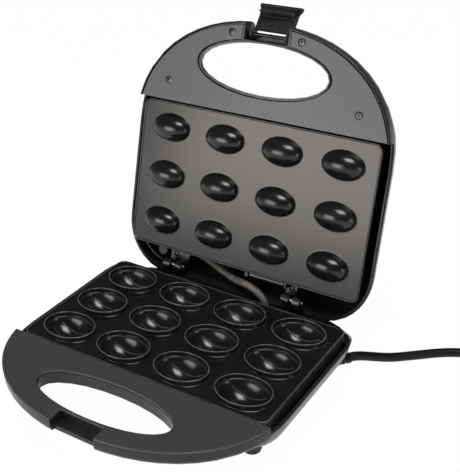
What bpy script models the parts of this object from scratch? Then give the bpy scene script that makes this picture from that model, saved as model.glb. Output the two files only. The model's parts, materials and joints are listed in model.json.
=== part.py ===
import math

import bmesh
import bpy
from mathutils import Matrix, Vector

# A countertop cooker that bakes twelve walnut-shaped cookies between two hinged plates.
# Metres, +Z up. The handles point to -Y, and the lid stands open as it rests on its stop.
# Each half is drawn in its own frame: X across, U towards its handle, and Z out of its plate.

# How the two halves stand
base_depth = 0.0375
foot_stand = 0.0050
plate_height = base_depth + foot_stand  # lower plate's flat top above the ground
closed_gap = 0.0046  # between the two plates when the lid is shut
hinge_height = 0.0034  # hinge axis above the lower plate
open_angle = math.radians(106.0)
front_to_back_shift = -0.0137  # centres the open cooker on Y = 0
touch_gap = 0.0003  # left wherever two pieces rest on each other
side_gap = 0.00012  # round pins and screws in their holes
weld_distance = 0.000001  # corners nearer than this are made one

# Cups of the lower plate and domes of the upper plate
columns = 4
rows = 3
column_pitch = 0.053
row_pitch = 0.0405
cup_sides = 14
dome_sides = 14
cup_spaces = (0.0080, 0.0061)  # between the feet of two cups
cup_lean = 0.0004
cup_lip = 0.0010
cup_ledge_widths = (0.0015, 0.0016)
dome_spaces = (0.0019, 0.0031)
cup_foot = ((column_pitch - cup_spaces[0]) / 2, (row_pitch - cup_spaces[1]) / 2)
cup_top = (cup_foot[0] - cup_lean, cup_foot[1] - cup_lean)
cup_rim = (cup_top[0] - cup_lip, cup_top[1] - cup_lip)
cup_ledge = (cup_rim[0] - cup_ledge_widths[0], cup_rim[1] - cup_ledge_widths[1])
cup_height = 0.0042
ledge_height = 0.0005
ledge_top = 0.0010
bowl_depth = 0.0140
bowl_wall = 0.0025
bowl_angle_shares = (0.36, 0.70)
dome_radii = (cup_ledge[0] - dome_spaces[0], cup_ledge[1] - dome_spaces[1])
dome_height = 0.0106
dome_angle_shares = (0.0, 0.30, 0.63)

# Plates, cast as shallow pans
plate_side_margin = 0.0034  # past the outer cups
plate_front_margin = 0.00085
plate_rear_margin = 0.00325
plate_half_width = columns * column_pitch / 2 + plate_side_margin
plate_front = rows * row_pitch / 2 + plate_front_margin
plate_rear = rows * row_pitch / 2 + plate_rear_margin
plate_corner = 0.0070
corner_steps = 4
slab = 0.0030
skirt_depth = 0.0140
skirt_wall = 0.0020
skirt_taper = 0.0022
border_width = 0.0014
border_height = 0.0008
border_round = 0.0004
plate_boss_radius = 0.0040
lower_boss_depth = 0.0120
upper_boss_depth = 0.0080
boss_bore = 0.0016
boss_bore_top = 0.0050

# Plan outline shared by both housings: an oval handle end, straight sides and round rear corners
rim_width = 0.0074  # of each housing beside its plate
step_space = 0.0017
base_handle_run = 0.0694
lid_handle_run = 0.0736
oval_setback = 0.0213
rear_run = 0.0119
hinge_run = 0.0121
half_width = plate_half_width + rim_width
step_reach = plate_front + step_space  # where the handle's top steps down to the rim
base_tip = step_reach + base_handle_run
lid_tip = step_reach + lid_handle_run
hinge_back = plate_rear + hinge_run  # hinge axis behind the middle of the cups
rear_reach = hinge_back + rear_run
oval_centre = step_reach - oval_setback
oval_power = 2.18
base_rear_corner = 0.040
lid_rear_corner = 0.044
front_run_inset = 0.022
front_run = half_width - front_run_inset
front_shares = (0.0, 0.14, 0.28, 0.42, 0.55, 0.67, 0.79, 0.905)
rear_corner_shares = (0.0, 0.10, 0.194, 0.28, 0.37, 0.48, 0.59, 0.73, 0.87, 1.0)

# Housings, seen from the side
rim_drop = 0.0046  # side rim below the plate's flat top
handle_rise = 0.00215  # handle top above the plate's flat top
edge_round = 0.0007
lid_depth = 0.0380
base_handle_depth = 0.0090
lid_handle_depth = 0.0130
base_underside_setback = 0.0235  # the underside starts to rise this far behind the step
lid_underside_setback = 0.0073
underside_run = 0.0157  # and reaches the handle's depth this far before it
underside_shares = (-0.55, 0.0, 0.26, 0.50, 0.74)
rear_fall_insets = (0.028, 0.018, 0.008)
rear_fall_drops = (0.0036, 0.0080, 0.0130)
base_rear_fall = tuple((rear_reach - inset, drop) for inset, drop in zip(rear_fall_insets, rear_fall_drops))
base_side_shares = ((0.0, 0.0), (0.227, 0.059), (0.475, 0.18), (0.70, 0.37), (0.88, 0.58), (1.0, 0.80))
lid_side_shares = ((0.0, 0.0), (0.25, 0.06), (0.48, 0.16), (0.70, 0.33), (0.88, 0.54), (1.0, 0.80))
base_handle_side_share = 0.6  # how much of that rounding the thin handle has
lid_handle_side_share = 0.4
shell_wall = 0.0024
shell_floor = 0.0025
cross_wall = 0.0025
over = 0.010  # how far a cutter runs past what it cuts

# Finger openings, panels and their screws
base_opening_start = 0.0157
base_opening_end = 0.0151
lid_opening_start = 0.0171
lid_opening_end = 0.0165
opening_side = 0.0586
opening_half_width = half_width - opening_side
opening_power = 2.04
opening_sides = 24
flare_start = 0.0010  # the upper opening widens below this
flare_side = 0.0070
flare_back = 0.0042
collar_wall = 0.0022
opening_lip = 0.0013
notch_lip = 0.0020
lid_panel_inset = 0.0020
panel_groove = 0.0004
panel_thickness = 0.0018
panel_edge = 0.0003
panel_screw_insets = (0.0303, 0.0165, 0.0115, 0.0107)
panel_boss_radius = 0.0050
panel_screw_head = 0.0030
panel_screw_head_depth = 0.0010
panel_screw_shank = 0.0013
panel_screw_length = 0.0070

# Latch
base_notch_half_width = 0.0190
base_notch_inset = 0.0046
base_shelf_inset = 0.0128
base_notch_reach = base_tip - base_notch_inset
base_notch_start = base_tip - base_shelf_inset
base_notch_floor = 0.0053
notch_cheek = 0.0022
lid_notch_half_width = 0.0196
lid_notch_inset = 0.0152
base_block_inset = 0.0140
lid_block_inset = 0.0180
latch_inset = 0.0102
lid_notch_start = lid_tip - lid_notch_inset
latch_reach = lid_tip - latch_inset
notch_wall_setback = 0.0005
notch_wall_top = 0.0100
latch_depth = 0.0037
latch_pin_radius = 0.0015
lever_half_width = 0.0170
lever_length = 0.0274
lever_start = 0.0050
lever_offset = 0.0021
lever_thickness = 0.0030
lever_ear = 0.0022
lever_ear_radius = 0.0036
lever_nose_gap = 0.0008
lever_nose_depth = 0.0031
lever_hook = latch_depth + closed_gap + base_handle_depth + lever_nose_gap  # catches under the lower handle
lever_nose_reach = 0.0036
lever_rib = 0.0006
lever_rib_shares = (0.30, 0.42, 0.54, 0.66, 0.78)
lever_rib_width = 0.0012
lever_open_angle = math.radians(114.0)
panel_screw_places = (
    (panel_screw_insets[0] - half_width, step_reach + panel_screw_insets[1]),
    (half_width - panel_screw_insets[0], step_reach + panel_screw_insets[1]),
    (-lid_notch_half_width - panel_screw_insets[2], lid_tip - panel_screw_insets[3]),
    (lid_notch_half_width + panel_screw_insets[2], lid_tip - panel_screw_insets[3]),
)

# Pillars that carry the plates, and their screws
pillar_places = (
    (-column_pitch, -row_pitch / 2),
    (column_pitch, -row_pitch / 2),
    (-column_pitch, row_pitch / 2),
    (column_pitch, row_pitch / 2),
)
pillar_radius = 0.0040
pillar_foot_radius = 0.0062
pillar_sides = 10
round_sides = 14
screw_hole = 0.0019
screw_shank = 0.0015
screw_head = 0.0034
screw_head_depth = 0.0020
screw_bore_radius = 0.0038
screw_bore_depth = 0.0042
screw_end = 0.0055
screw_sides = 8

# Heaters and shields
heater_radius = 0.00325
heater_leg_inset = 0.0144
heater_bend_inset = 0.0494
heater_leg = plate_half_width - heater_leg_inset
heater_bend = heater_bend_inset - plate_half_width
heater_bend_steps = 10
shield_thickness = 0.0008
shield_insets = (0.0114, 0.0116, 0.0185)
shield_half_width = plate_half_width - shield_insets[0]
shield_front = plate_front - shield_insets[1]
shield_rear = plate_rear - shield_insets[2]
shield_hole = 0.0046
thermostat_radius = 0.0070
thermostat_height = 0.0060
fuse_radius = 0.0020
fuse_length = 0.012
block_size = (0.030, 0.012, 0.009)
block_place = (-0.030, 0.052)

# Feet
foot_front_insets = (0.0281, 0.0178)
foot_rear_insets = (0.0348, 0.0260)
foot_places = (
    (foot_front_insets[0] - half_width, step_reach - foot_front_insets[1]),
    (half_width - foot_front_insets[0], step_reach - foot_front_insets[1]),
    (foot_rear_insets[0] - half_width, foot_rear_insets[1] - rear_reach),
    (half_width - foot_rear_insets[0], foot_rear_insets[1] - rear_reach),
)
foot_top_radius = 0.0070
foot_bottom_radius = 0.0064
foot_edge = 0.0012
foot_boss_radius = 0.0078
foot_boss_height = 0.0050
foot_pad = 0.0004  # each boss stands this far out of the underside
foot_sides = 14

# Rear deck and hinges
deck_drop = 0.0135
deck_thickness = 0.0030
deck_space = 0.0020
deck_start = plate_rear + deck_space
knuckle_radius = 0.0045
knuckle_width = 0.0065
knuckle_sides = 14
hinge_pin_radius = 0.0015
base_knuckle_insets = (0.0495, 0.0575)
base_knuckle_places = (base_knuckle_insets[0] - half_width, half_width - base_knuckle_insets[1])
knuckle_steps = (0.0115, 0.0103)  # from each base knuckle inwards to the lid's
lid_knuckle_places = (base_knuckle_places[0] + knuckle_steps[0], base_knuckle_places[1] - knuckle_steps[1])
pin_overhang = 0.0014
arm_offsets = (-0.0056, 0.0004)  # from the hinge axis, backwards
arm_foot_offsets = (-0.0071, 0.0009)
lid_tab_offsets = (-0.0097, -0.0004)
lid_arm_offsets = (-0.0031, -0.0006)
arm_span = (hinge_back + arm_offsets[0], hinge_back + arm_offsets[1])
arm_foot_thickness = 0.0020
arm_foot_length = 0.0110
arm_foot_span = (hinge_back + arm_foot_offsets[0], hinge_back + arm_foot_offsets[1])
bracket_screw_inset = 0.0038
bracket_screw_radius = 0.0024
bracket_screw_head = 0.0009
bracket_screw_shank = 0.0012
bracket_screw_length = 0.0040
lid_tab_depth = 0.0085
lid_tab_thickness = 0.0020
lid_tab_span = (hinge_back + lid_tab_offsets[0], hinge_back + lid_tab_offsets[1])
left_tab_steps = (-0.0162, 0.0028)  # from the lid's left knuckle
right_tab_steps = (-0.0058, 0.0040)
lid_tab_ranges = (
    (lid_knuckle_places[0] + left_tab_steps[0], lid_knuckle_places[0] + left_tab_steps[1]),
    (lid_knuckle_places[1] + right_tab_steps[0], lid_knuckle_places[1] + right_tab_steps[1]),
)
tab_screw_steps = ((-0.0108, 0.0067), (-0.0008, 0.0065))
lid_tab_screws = tuple(
    (knuckle + step[0], step[1] - hinge_back) for knuckle, step in zip(lid_knuckle_places, tab_screw_steps)
)
lid_arm_span = (hinge_back + lid_arm_offsets[0], hinge_back + lid_arm_offsets[1])
lid_pillar_radius = 0.0045
lid_boss_insets = (0.0358, 0.0071)
lid_boss_place = (lid_boss_insets[0] - half_width, lid_boss_insets[1] - hinge_back)
lid_boss_top = 0.0080

# Spring under the upper plate's rear edge
spring_run = 0.0323
spring_space = 0.0004
spring_setback = 0.0093
spring_ends = (lid_tab_ranges[1][0] - spring_space - spring_run, lid_tab_ranges[1][0] - spring_space)
spring_reach = hinge_back - spring_setback
spring_depth = 0.0050
spring_radius = 0.0019
wire_radius = 0.0004
spring_curls = 16
spring_points = 8
post_size = (0.0030, 0.0036)
post_top = 0.0020
post_foot = 0.0200
ear_thickness = 0.0013
ear_half_height = 0.0026

# Braided sleeve with the wires from the base to the lid: X, Y behind the hinge axis, Z
sleeve_radius = 0.0034
sleeve_hole = 0.0042
sleeve_route = (
    (-0.0536, 0.0281, 0.0013),
    (-0.0480, 0.0234, 0.0030),
    (-0.0420, 0.0199, 0.0055),
    (-0.0350, 0.0159, 0.0064),
    (-0.0212, 0.0119, 0.0040),
    (-0.0074, 0.0079, 0.0022),
    (0.0038, 0.0039, 0.0032),
    (0.0134, 0.0019, 0.0032),
    (0.0232, -0.0001, 0.0003),
    (0.0299, -0.0016, -0.0062),
    (0.0305, -0.0021, -0.0135),
    (0.0305, -0.0021, -0.0220),
)
sleeve_points = 22

# Lamps, a guess, on the lid's outside
lamp_places = ((-0.010, 0.030), (0.010, 0.030))
lamp_radius = 0.0030
lamp_rise = 0.0010
lamp_depth = 0.0040
lamp_sides = 12

# Cord: gland, free stretch, coil, tie and plug
cord_radius = 0.0037
gland_insets = (0.0185, 0.0287)
gland_start = (half_width - gland_insets[0], rear_reach - gland_insets[1])
gland_direction = (0.68, 0.73)
gland_lift = 0.0080
gland_height = foot_stand + gland_lift  # cord's middle above the ground as it leaves
gland_root_radius = 0.0050
gland_tip_radius = 0.00415
gland_root = 0.0100
gland_length = 0.0162
gland_hole = 0.0053
gland_lands = 3
coil_offset = (0.1757, 0.0467)  # coil's middle from the gland's start
coil_centre = (gland_start[0] + coil_offset[0], gland_start[1] + coil_offset[1])
coil_loops = 2
coil_outer = 0.0400
coil_pitch = 0.0082
coil_points = 24
coil_lift = 0.0012
coil_exit = 0.0400
cord_route = (
    (0.0339, 0.0368, 0.0056),
    (0.0490, 0.0508, 0.0041),
    (0.0648, 0.0642, 0.0038),
    (0.0801, 0.0736, 0.0038),
    (0.1027, 0.0822, 0.0040),
    (0.1267, 0.0862, 0.0044),
    (0.1497, 0.0867, 0.0049),
)  # X and Y from the gland's start, Z above the ground
cord_points = 14
curve_steps = 16
tie_width = 0.0060
tie_thickness = 0.0008
tie_clearance = 0.0005
plug_length = 0.0340
plug_nose = 0.0060
plug_half_width = 0.0125
plug_grip_half_width = 0.0090
prong_length = 0.0175
prong_half_height = 0.0031
prong_half_thickness = 0.00075
prong_offset = 0.00635
prong_seat = 0.0020
clamp_size = (0.0160, 0.0060, 0.0030)

# Colours, roughness and metallic value of each finish
finishes = {
    "black_shell": ((0.012, 0.012, 0.013), 0.35, 0.0),
    "satin_panel": ((0.045, 0.045, 0.048), 0.45, 0.0),
    "nonstick": ((0.014, 0.013, 0.013), 0.28, 0.3),
    "steel": ((0.55, 0.55, 0.56), 0.30, 1.0),
    "zinc": ((0.42, 0.42, 0.43), 0.45, 1.0),
    "aluminised": ((0.50, 0.50, 0.50), 0.50, 1.0),
    "rubber": ((0.02, 0.02, 0.02), 0.80, 0.0),
    "cord_black": ((0.018, 0.018, 0.020), 0.50, 0.0),
    "braid": ((0.50, 0.46, 0.38), 0.85, 0.0),
    "brass": ((0.60, 0.45, 0.20), 0.35, 1.0),
    "ceramic": ((0.70, 0.68, 0.64), 0.60, 0.0),
    "lever": ((0.10, 0.10, 0.11), 0.40, 0.0),
    "red_lens": ((0.55, 0.03, 0.02), 0.20, 0.0),
    "green_lens": ((0.03, 0.40, 0.08), 0.20, 0.0),
}

base_side = -1
lid_side = 1


# Scene and object helpers

def clear_scene():
    for obj in list(bpy.data.objects):
        bpy.data.objects.remove(obj, do_unlink=True)


def finish_material(key):
    found = bpy.data.materials.get(key)
    if found:
        return found
    colour, roughness, metallic = finishes[key]
    material = bpy.data.materials.new(key)
    material.use_nodes = True
    shader = material.node_tree.nodes["Principled BSDF"]
    shader.inputs["Base Color"].default_value = (*colour, 1.0)
    shader.inputs["Roughness"].default_value = roughness
    shader.inputs["Metallic"].default_value = metallic
    return material


def link_new(name, data):
    obj = bpy.data.objects.new(name, data)
    bpy.context.scene.collection.objects.link(obj)
    return obj


def mesh_object(name, vertices, faces):
    mesh = bpy.data.meshes.new(name)
    mesh.from_pydata([tuple(v) for v in vertices], [], faces)
    work = bmesh.new()
    work.from_mesh(mesh)
    bmesh.ops.remove_doubles(work, verts=work.verts, dist=weld_distance)
    bmesh.ops.dissolve_degenerate(work, edges=work.edges, dist=weld_distance)
    bmesh.ops.recalc_face_normals(work, faces=work.faces)
    work.to_mesh(mesh)
    work.free()
    return link_new(name, mesh)


def joined(name, pieces):
    """Puts separate bodies that don't touch into one mesh, to cut or add them in one step."""
    work = bmesh.new()
    for piece in pieces:
        work.from_mesh(piece.data)
    mesh = bpy.data.meshes.new(name)
    work.to_mesh(mesh)
    work.free()
    for piece in pieces:
        bpy.data.objects.remove(piece, do_unlink=True)
    return link_new(name, mesh)


def boolean(target, tool, operation):
    step = target.modifiers.new("step", "BOOLEAN")
    step.operation = operation
    step.solver = "EXACT"
    step.object = tool
    graph = bpy.context.evaluated_depsgraph_get()
    result = bpy.data.meshes.new_from_object(target.evaluated_get(graph))
    target.modifiers.remove(step)
    target.data = result
    bpy.data.objects.remove(tool, do_unlink=True)
    return target


def cut(target, tool):
    return boolean(target, tool, "DIFFERENCE")


def add(target, tool):
    return boolean(target, tool, "UNION")


def keep_inside(target, tool):
    return boolean(target, tool, "INTERSECT")


def settle(obj, key, place, origin):
    """Moves a mesh from its half's frame to the room, with its origin at the given point."""
    tidy = bmesh.new()
    tidy.from_mesh(obj.data)
    bmesh.ops.remove_doubles(tidy, verts=tidy.verts, dist=weld_distance)
    bmesh.ops.dissolve_degenerate(tidy, edges=tidy.edges, dist=weld_distance)
    tidy.to_mesh(obj.data)
    tidy.free()
    obj.data.transform(Matrix.Translation(-origin) @ place)
    obj.location = origin
    obj.data.materials.clear()
    obj.data.materials.append(finish_material(key))
    return obj


# Frames of the two halves

def base_place():
    return Matrix.Translation((0.0, front_to_back_shift, plate_height))


def hinge_point():
    return base_place() @ Vector((0.0, hinge_back, hinge_height))


def lid_place():
    """Shut, the lid faces down over the base. It then turns up about the hinge."""
    hinge = Vector((0.0, hinge_back, hinge_height))
    shut = Matrix.Translation((0.0, 0.0, closed_gap)) @ Matrix.Rotation(math.pi, 4, "X")
    opened = Matrix.Translation(hinge) @ Matrix.Rotation(-open_angle, 4, "X") @ Matrix.Translation(-hinge)
    return base_place() @ opened @ shut


def latch_point():
    return lid_place() @ Vector((0.0, latch_reach, -latch_depth))


# Simple solids in a half's frame

def ring_stack(name, rings):
    """Joins rings of equal length into a closed body. A ring of one point is a tip."""
    vertices = []
    starts = []
    for ring in rings:
        starts.append((len(vertices), len(ring)))
        vertices.extend(ring)
    faces = []
    for (low, low_count), (high, high_count) in zip(starts, starts[1:]):
        count = max(low_count, high_count)
        for i in range(count):
            j = (i + 1) % count
            if low_count == 1:
                faces.append((low, high + j, high + i))
            elif high_count == 1:
                faces.append((low + i, low + j, high))
            else:
                faces.append((low + i, low + j, high + j, high + i))
    for start, count in (starts[0], starts[-1]):
        if count > 1:
            faces.append(tuple(range(start, start + count)))
    return mesh_object(name, vertices, faces)


def oval(centre, radii, height, sides):
    ring = []
    for i in range(sides):
        turn = 2 * math.pi * i / sides
        ring.append((centre[0] + radii[0] * math.cos(turn), centre[1] + radii[1] * math.sin(turn), height))
    return ring


def upright(name, centre, steps, sides):
    """A round post from (radius, height) steps."""
    rings = [oval(centre, (radius, radius), height, sides) for radius, height in steps]
    return ring_stack(name, rings)


def rod(name, start, end, steps, sides):
    """A round bar between two points, from (radius, share of its length) steps."""
    start = Vector(start)
    along = Vector(end) - start
    across = along.orthogonal().normalized()
    if abs(along.z) < along.length / 2:
        across = Vector((0.0, 0.0, 1.0)).cross(along).normalized()
    third = along.cross(across).normalized()
    rings = []
    for radius, share in steps:
        ring = []
        for i in range(sides):
            turn = 2 * math.pi * i / sides
            ring.append(start + along * share + (across * math.cos(turn) + third * math.sin(turn)) * radius)
        rings.append(ring)
    return ring_stack(name, rings)


def box(name, x_range, y_range, z_range):
    (x0, x1), (y0, y1), (z0, z1) = x_range, sorted(y_range), z_range
    low = [(x0, y0, z0), (x1, y0, z0), (x1, y1, z0), (x0, y1, z0)]
    high = [(x0, y0, z1), (x1, y0, z1), (x1, y1, z1), (x0, y1, z1)]
    return ring_stack(name, [low, high])


def reach_range(side, near, far):
    """Turns a span towards the handle into the half's own Y."""
    return tuple(sorted((side * near, side * far)))


def rounded_rectangle(side, inset, height):
    """Edge of a plate, with round corners."""
    radius = max(plate_corner - inset, touch_gap)
    right = plate_half_width - inset
    front = plate_front - inset
    rear = plate_rear - inset
    ring = []
    for number, (x, u) in enumerate(((right, front), (-right, front), (-right, -rear), (right, -rear))):
        centre_x = x - math.copysign(radius, x)
        centre_u = u - math.copysign(radius, u)
        for i in range(corner_steps + 1):
            turn = math.pi / 2 * (number + i / corner_steps)
            out_u = centre_u + radius * math.sin(turn)
            ring.append((centre_x + radius * math.cos(turn), side * out_u, height))
    return ring


def super_oval(side, centre_u, half_x, half_u, height):
    ring = []
    for i in range(opening_sides):
        turn = 2 * math.pi * i / opening_sides
        c, s = math.cos(turn), math.sin(turn)
        x = math.copysign(half_x * abs(c) ** (2 / opening_power), c)
        u = math.copysign(half_u * abs(s) ** (2 / opening_power), s)
        ring.append((x, side * (centre_u + u), height))
    return ring


# Plan outline of the housings

def oval_reach(side):
    return (base_tip if side == base_side else lid_tip) - oval_centre


def oval_station(side, x, u):
    """A point of the handle's oval, or of the straight side behind it, with its outward direction."""
    reach = oval_reach(side)
    push_x = (x / half_width) ** (oval_power - 1) / half_width
    push_u = max((u - oval_centre) / reach, 0.0) ** (oval_power - 1) / reach
    size = math.hypot(push_x, push_u)
    return (x, u, push_x / size, push_u / size)


def oval_at_x(side, x):
    share = (1 - (x / half_width) ** oval_power) ** (1 / oval_power)
    return oval_station(side, x, oval_centre + oval_reach(side) * share)


def oval_at_u(side, u):
    share = max((u - oval_centre) / oval_reach(side), 0.0)
    return oval_station(side, half_width * (1 - share ** oval_power) ** (1 / oval_power), u)


def right_outline(side):
    """Right half from the middle of the handle end round to the straight rear edge."""
    rear_corner = base_rear_corner if side == base_side else lid_rear_corner
    stations = [oval_at_x(side, front_run * share) for share in front_shares]
    stations.append(oval_at_x(side, front_run))
    back, front = underside_span(side)
    stations += [oval_at_u(side, front + (step_reach - front) * share) for share in underside_shares]
    stations += [oval_at_u(side, step_reach), oval_at_u(side, step_reach)]
    stations.append(oval_at_u(side, (step_reach + max(back, oval_centre)) / 2))
    stations.append(oval_at_u(side, max(back, oval_centre)))
    stations.append(oval_at_u(side, min(back, oval_centre)))
    middle_x = half_width - rear_corner
    middle_u = rear_corner - rear_reach
    for share in rear_corner_shares:
        turn = math.pi / 2 * share
        c, s = math.cos(turn), math.sin(turn)
        stations.append((middle_x + rear_corner * c, middle_u - rear_corner * s, c, -s))
    return stations


def step_index():
    """The first of the two stations at the step."""
    return len(front_shares) + 1 + len(underside_shares)


def between(points, value):
    """Reads a height from (position, height) points."""
    if value <= points[0][0]:
        return points[0][1]
    for (a, low), (b, high) in zip(points, points[1:]):
        if value <= b:
            return low + (high - low) * (value - a) / (b - a)
    return points[-1][1]


def rim_height(side, u):
    return -between(base_rear_fall, -u) if side == base_side else -rim_drop


def underside_span(side):
    """Where the underside leaves the body's depth and where it reaches the handle's."""
    setback = base_underside_setback if side == base_side else lid_underside_setback
    return (step_reach - setback, step_reach + underside_run)


def handle_share(side, u):
    """Nought under the body and one at the thin handle, with a smooth curve between."""
    back, front = underside_span(side)
    share = min(max((u - back) / (front - back), 0.0), 1.0)
    return share * share * (3 - 2 * share)


def underside_height(side, u):
    if side == base_side:
        return -(base_depth + (base_handle_depth - base_depth) * handle_share(side, u))
    return -(lid_depth + (lid_handle_depth - lid_depth) * handle_share(side, u))


def rounding(side, u):
    share = base_handle_side_share if side == base_side else lid_handle_side_share
    return 1.0 - (1.0 - share) * handle_share(side, u)


def mirrored_loft(name, side, rings):
    """Rings of right-half (x, u, z) points, mirrored, joined and closed with strips across."""
    vertices = []
    half = len(rings[0])
    full = 2 * half - 1
    for ring in rings:
        loop = list(ring) + [(-x, u, z) for x, u, z in reversed(ring[1:])]
        vertices += [(x, side * u, z) for x, u, z in loop]
    faces = []
    for k in range(len(rings) - 1):
        for i in range(full):
            j = (i + 1) % full
            faces.append((k * full + i, k * full + j, (k + 1) * full + j, (k + 1) * full + i))
    for start in (0, (len(rings) - 1) * full):
        for i in range(half - 1):
            left = (full - i) % full
            next_left = (full - i - 1) % full
            strip = [start + i, start + i + 1, start + next_left, start + left]
            faces.append(tuple(dict.fromkeys(strip)))
    return mesh_object(name, vertices, faces)


def inset_ring(stations, insets, heights):
    ring = []
    for (x, u, out_x, out_u), inset, height in zip(stations, insets, heights):
        ring.append((max(x - inset * out_x, 0.0), u - inset * out_u, height))
    return ring


def side_shares(side):
    return base_side_shares if side == base_side else lid_side_shares


def outer_body(side):
    """The half's outside: rim, handle top, rounded sides and underside."""
    stations = right_outline(side)
    step = step_index()
    tops = [handle_rise if i <= step else rim_height(side, s[1]) for i, s in enumerate(stations)]
    shoulders = [min(-rim_drop, rim_height(side, s[1])) - edge_round for s in stations]
    floors = [underside_height(side, s[1]) for s in stations]
    none = [0.0] * len(stations)
    rings = [
        inset_ring(stations, [edge_round] * len(stations), tops),
        inset_ring(stations, none, [top - edge_round for top in tops]),
    ]
    depths = [shoulder - floor for shoulder, floor in zip(shoulders, floors)]
    for down, inward in side_shares(side):
        insets = [inward * depth * rounding(side, s[1]) for depth, s in zip(depths, stations)]
        rings.append(inset_ring(stations, insets, [a - down * d for a, d in zip(shoulders, depths)]))
    return mirrored_loft("outer", side, rings)


def inner_space(side):
    """The hollow of a half, before its walls, pillars and bosses are put back."""
    stations = right_outline(side)
    shoulders = [min(-rim_drop, rim_height(side, s[1])) - edge_round for s in stations]
    floors = [underside_height(side, s[1]) + shell_floor for s in stations]
    wall = [shell_wall] * len(stations)
    rings = [inset_ring(stations, wall, [over] * len(stations))]
    shares = side_shares(side)
    depths = [shoulder - floor for shoulder, floor in zip(shoulders, floors)]
    for down, inward in shares[:3] + shares[4:]:
        insets = [inward * depth * rounding(side, s[1]) + shell_wall for depth, s in zip(depths, stations)]
        rings.append(inset_ring(stations, insets, [a - down * d for a, d in zip(shoulders, depths)]))
    return mirrored_loft("inner", side, rings)


def outline_prism(side, inset, low, high, bevel):
    stations = right_outline(side)
    count = len(stations)
    rings = [inset_ring(stations, [inset] * count, [low] * count)]
    if bevel:
        rings.append(inset_ring(stations, [inset] * count, [high - bevel] * count))
    rings.append(inset_ring(stations, [inset + bevel] * count, [high] * count))
    return mirrored_loft("prism", side, rings)


def opening_ends(side):
    """Where a half's finger opening starts and ends."""
    if side == base_side:
        return step_reach + base_opening_start, base_tip - base_opening_end
    return step_reach + lid_opening_start, lid_tip - lid_opening_end


def opening_ring(side, grow, back, height):
    near, far = opening_ends(side)
    half = (far - near + back) / 2 + grow
    out = flare_side if back else 0.0
    return super_oval(side, (far + near - back) / 2, opening_half_width + grow + out, half, height)


def opening_prism(side, grow, low, high):
    """The way through for the fingers. The upper one widens out of sight, away from the tip."""
    rings = [opening_ring(side, grow, 0.0, low), opening_ring(side, grow, 0.0, high)]
    if side == lid_side and low < -lid_handle_depth:
        rings[0] = opening_ring(side, grow, flare_back, low)
        rings.insert(1, opening_ring(side, grow, flare_back, -lid_handle_depth))
        rings.insert(2, opening_ring(side, grow, 0.0, -flare_start))
    return ring_stack("opening", rings)


def across(half):
    return (-half, half)


# Housings and panels

def recess_height():
    return handle_rise - panel_thickness - touch_gap


def housing(name, side, depth, keepers, bores):
    """Outer body less its hollow. Keepers stay solid inside, and bores go through."""
    body = outer_body(side)
    hollow = inner_space(side)
    wall_span = reach_range(side, step_reach, step_reach + cross_wall)
    wall = box("wall", across(half_width), wall_span, (-depth - over, 2 * over))
    collar = opening_prism(side, collar_wall, -depth, 2 * over)
    cut(hollow, joined("keepers", [wall, collar] + keepers))
    cheeks, back = lid_notch_half_width, lid_tip - lid_block_inset
    if side == base_side:
        cheeks, back = base_notch_half_width, base_tip - base_block_inset
    span = reach_range(side, back, back + 2 * over + collar_wall)
    cut(hollow, box("block", across(cheeks + notch_cheek), span, (-depth, 2 * over)))
    cut(body, hollow)
    cut(body, panel_recess(side))
    through = opening_prism(side, 0.0, -depth, over)
    cut(body, joined("bores", [through] + bores))
    body.name = name
    return body


def panel_recess(side):
    """Room for a panel: the lower one lies over the whole handle, the upper one between lips."""
    if side == base_side:
        return outline_prism(side, -panel_groove, recess_height(), over, 0.0)
    recess = outline_prism(side, lid_panel_inset - panel_groove, recess_height(), over, 0.0)
    cut(recess, opening_prism(side, opening_lip, -flare_start, 2 * over))
    return cut(recess, notch_box(notch_lip))


def notch_box(grow):
    """The upper handle's notch, for the latch, grown at its sides."""
    span = reach_range(lid_side, lid_notch_start, lid_notch_start + 2 * over)
    return box("notch", across(lid_notch_half_width + grow), span, (-over, 2 * over))


def latch_notches(side):
    """The ways through a handle's tip for the latch. The upper one has a back wall at first."""
    if side == base_side:
        span = reach_range(side, base_notch_reach, base_notch_reach + 2 * over)
        return [box("notch", across(base_notch_half_width), span, (-base_depth, over))]
    middle = latch_reach - notch_wall_setback
    wide = across(lid_notch_half_width)
    near = reach_range(side, lid_notch_start, middle + touch_gap)
    far = reach_range(side, middle, middle + 2 * over)
    inner = box("notch", wide, near, (-notch_wall_top, over))
    outer = box("notch", wide, far, (-lid_depth, over))
    return [add(inner, outer)]


def latch_shelf():
    """The shallow step behind the lower notch, with a lip that the hook catches under."""
    span = reach_range(base_side, base_notch_start, base_notch_reach + over / 2)
    return box("shelf", across(base_notch_half_width), span, (-base_notch_floor, over))


def handle_panel(name, side, screws):
    inset = 0.0 if side == base_side else lid_panel_inset
    panel = outline_prism(side, inset, recess_height() + touch_gap, handle_rise, panel_edge)
    keep_span = reach_range(side, step_reach + touch_gap, lid_tip + over)
    keep_inside(panel, box("keep", across(half_width + over), keep_span, across(over)))
    if side == base_side:
        cut(panel, opening_prism(side, 0.0, -over, over))
        cut(panel, latch_notches(side)[0])
        cut(panel, latch_shelf())
    else:
        cut(panel, opening_prism(side, opening_lip + panel_groove, -over, over))
        cut(panel, notch_box(notch_lip + panel_groove))
    holes = []
    for place in screws:
        centre = (place[0], side * place[1])
        steps = (
            (panel_screw_shank + side_gap, -over),
            (panel_screw_shank + side_gap, handle_rise - panel_screw_head_depth - side_gap),
            (panel_screw_head + side_gap, handle_rise - panel_screw_head_depth - side_gap),
            (panel_screw_head + side_gap, over),
        )
        holes.append(upright("hole", centre, steps, screw_sides))
    if holes:
        cut(panel, joined("holes", holes))
    panel.name = name
    return panel


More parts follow.
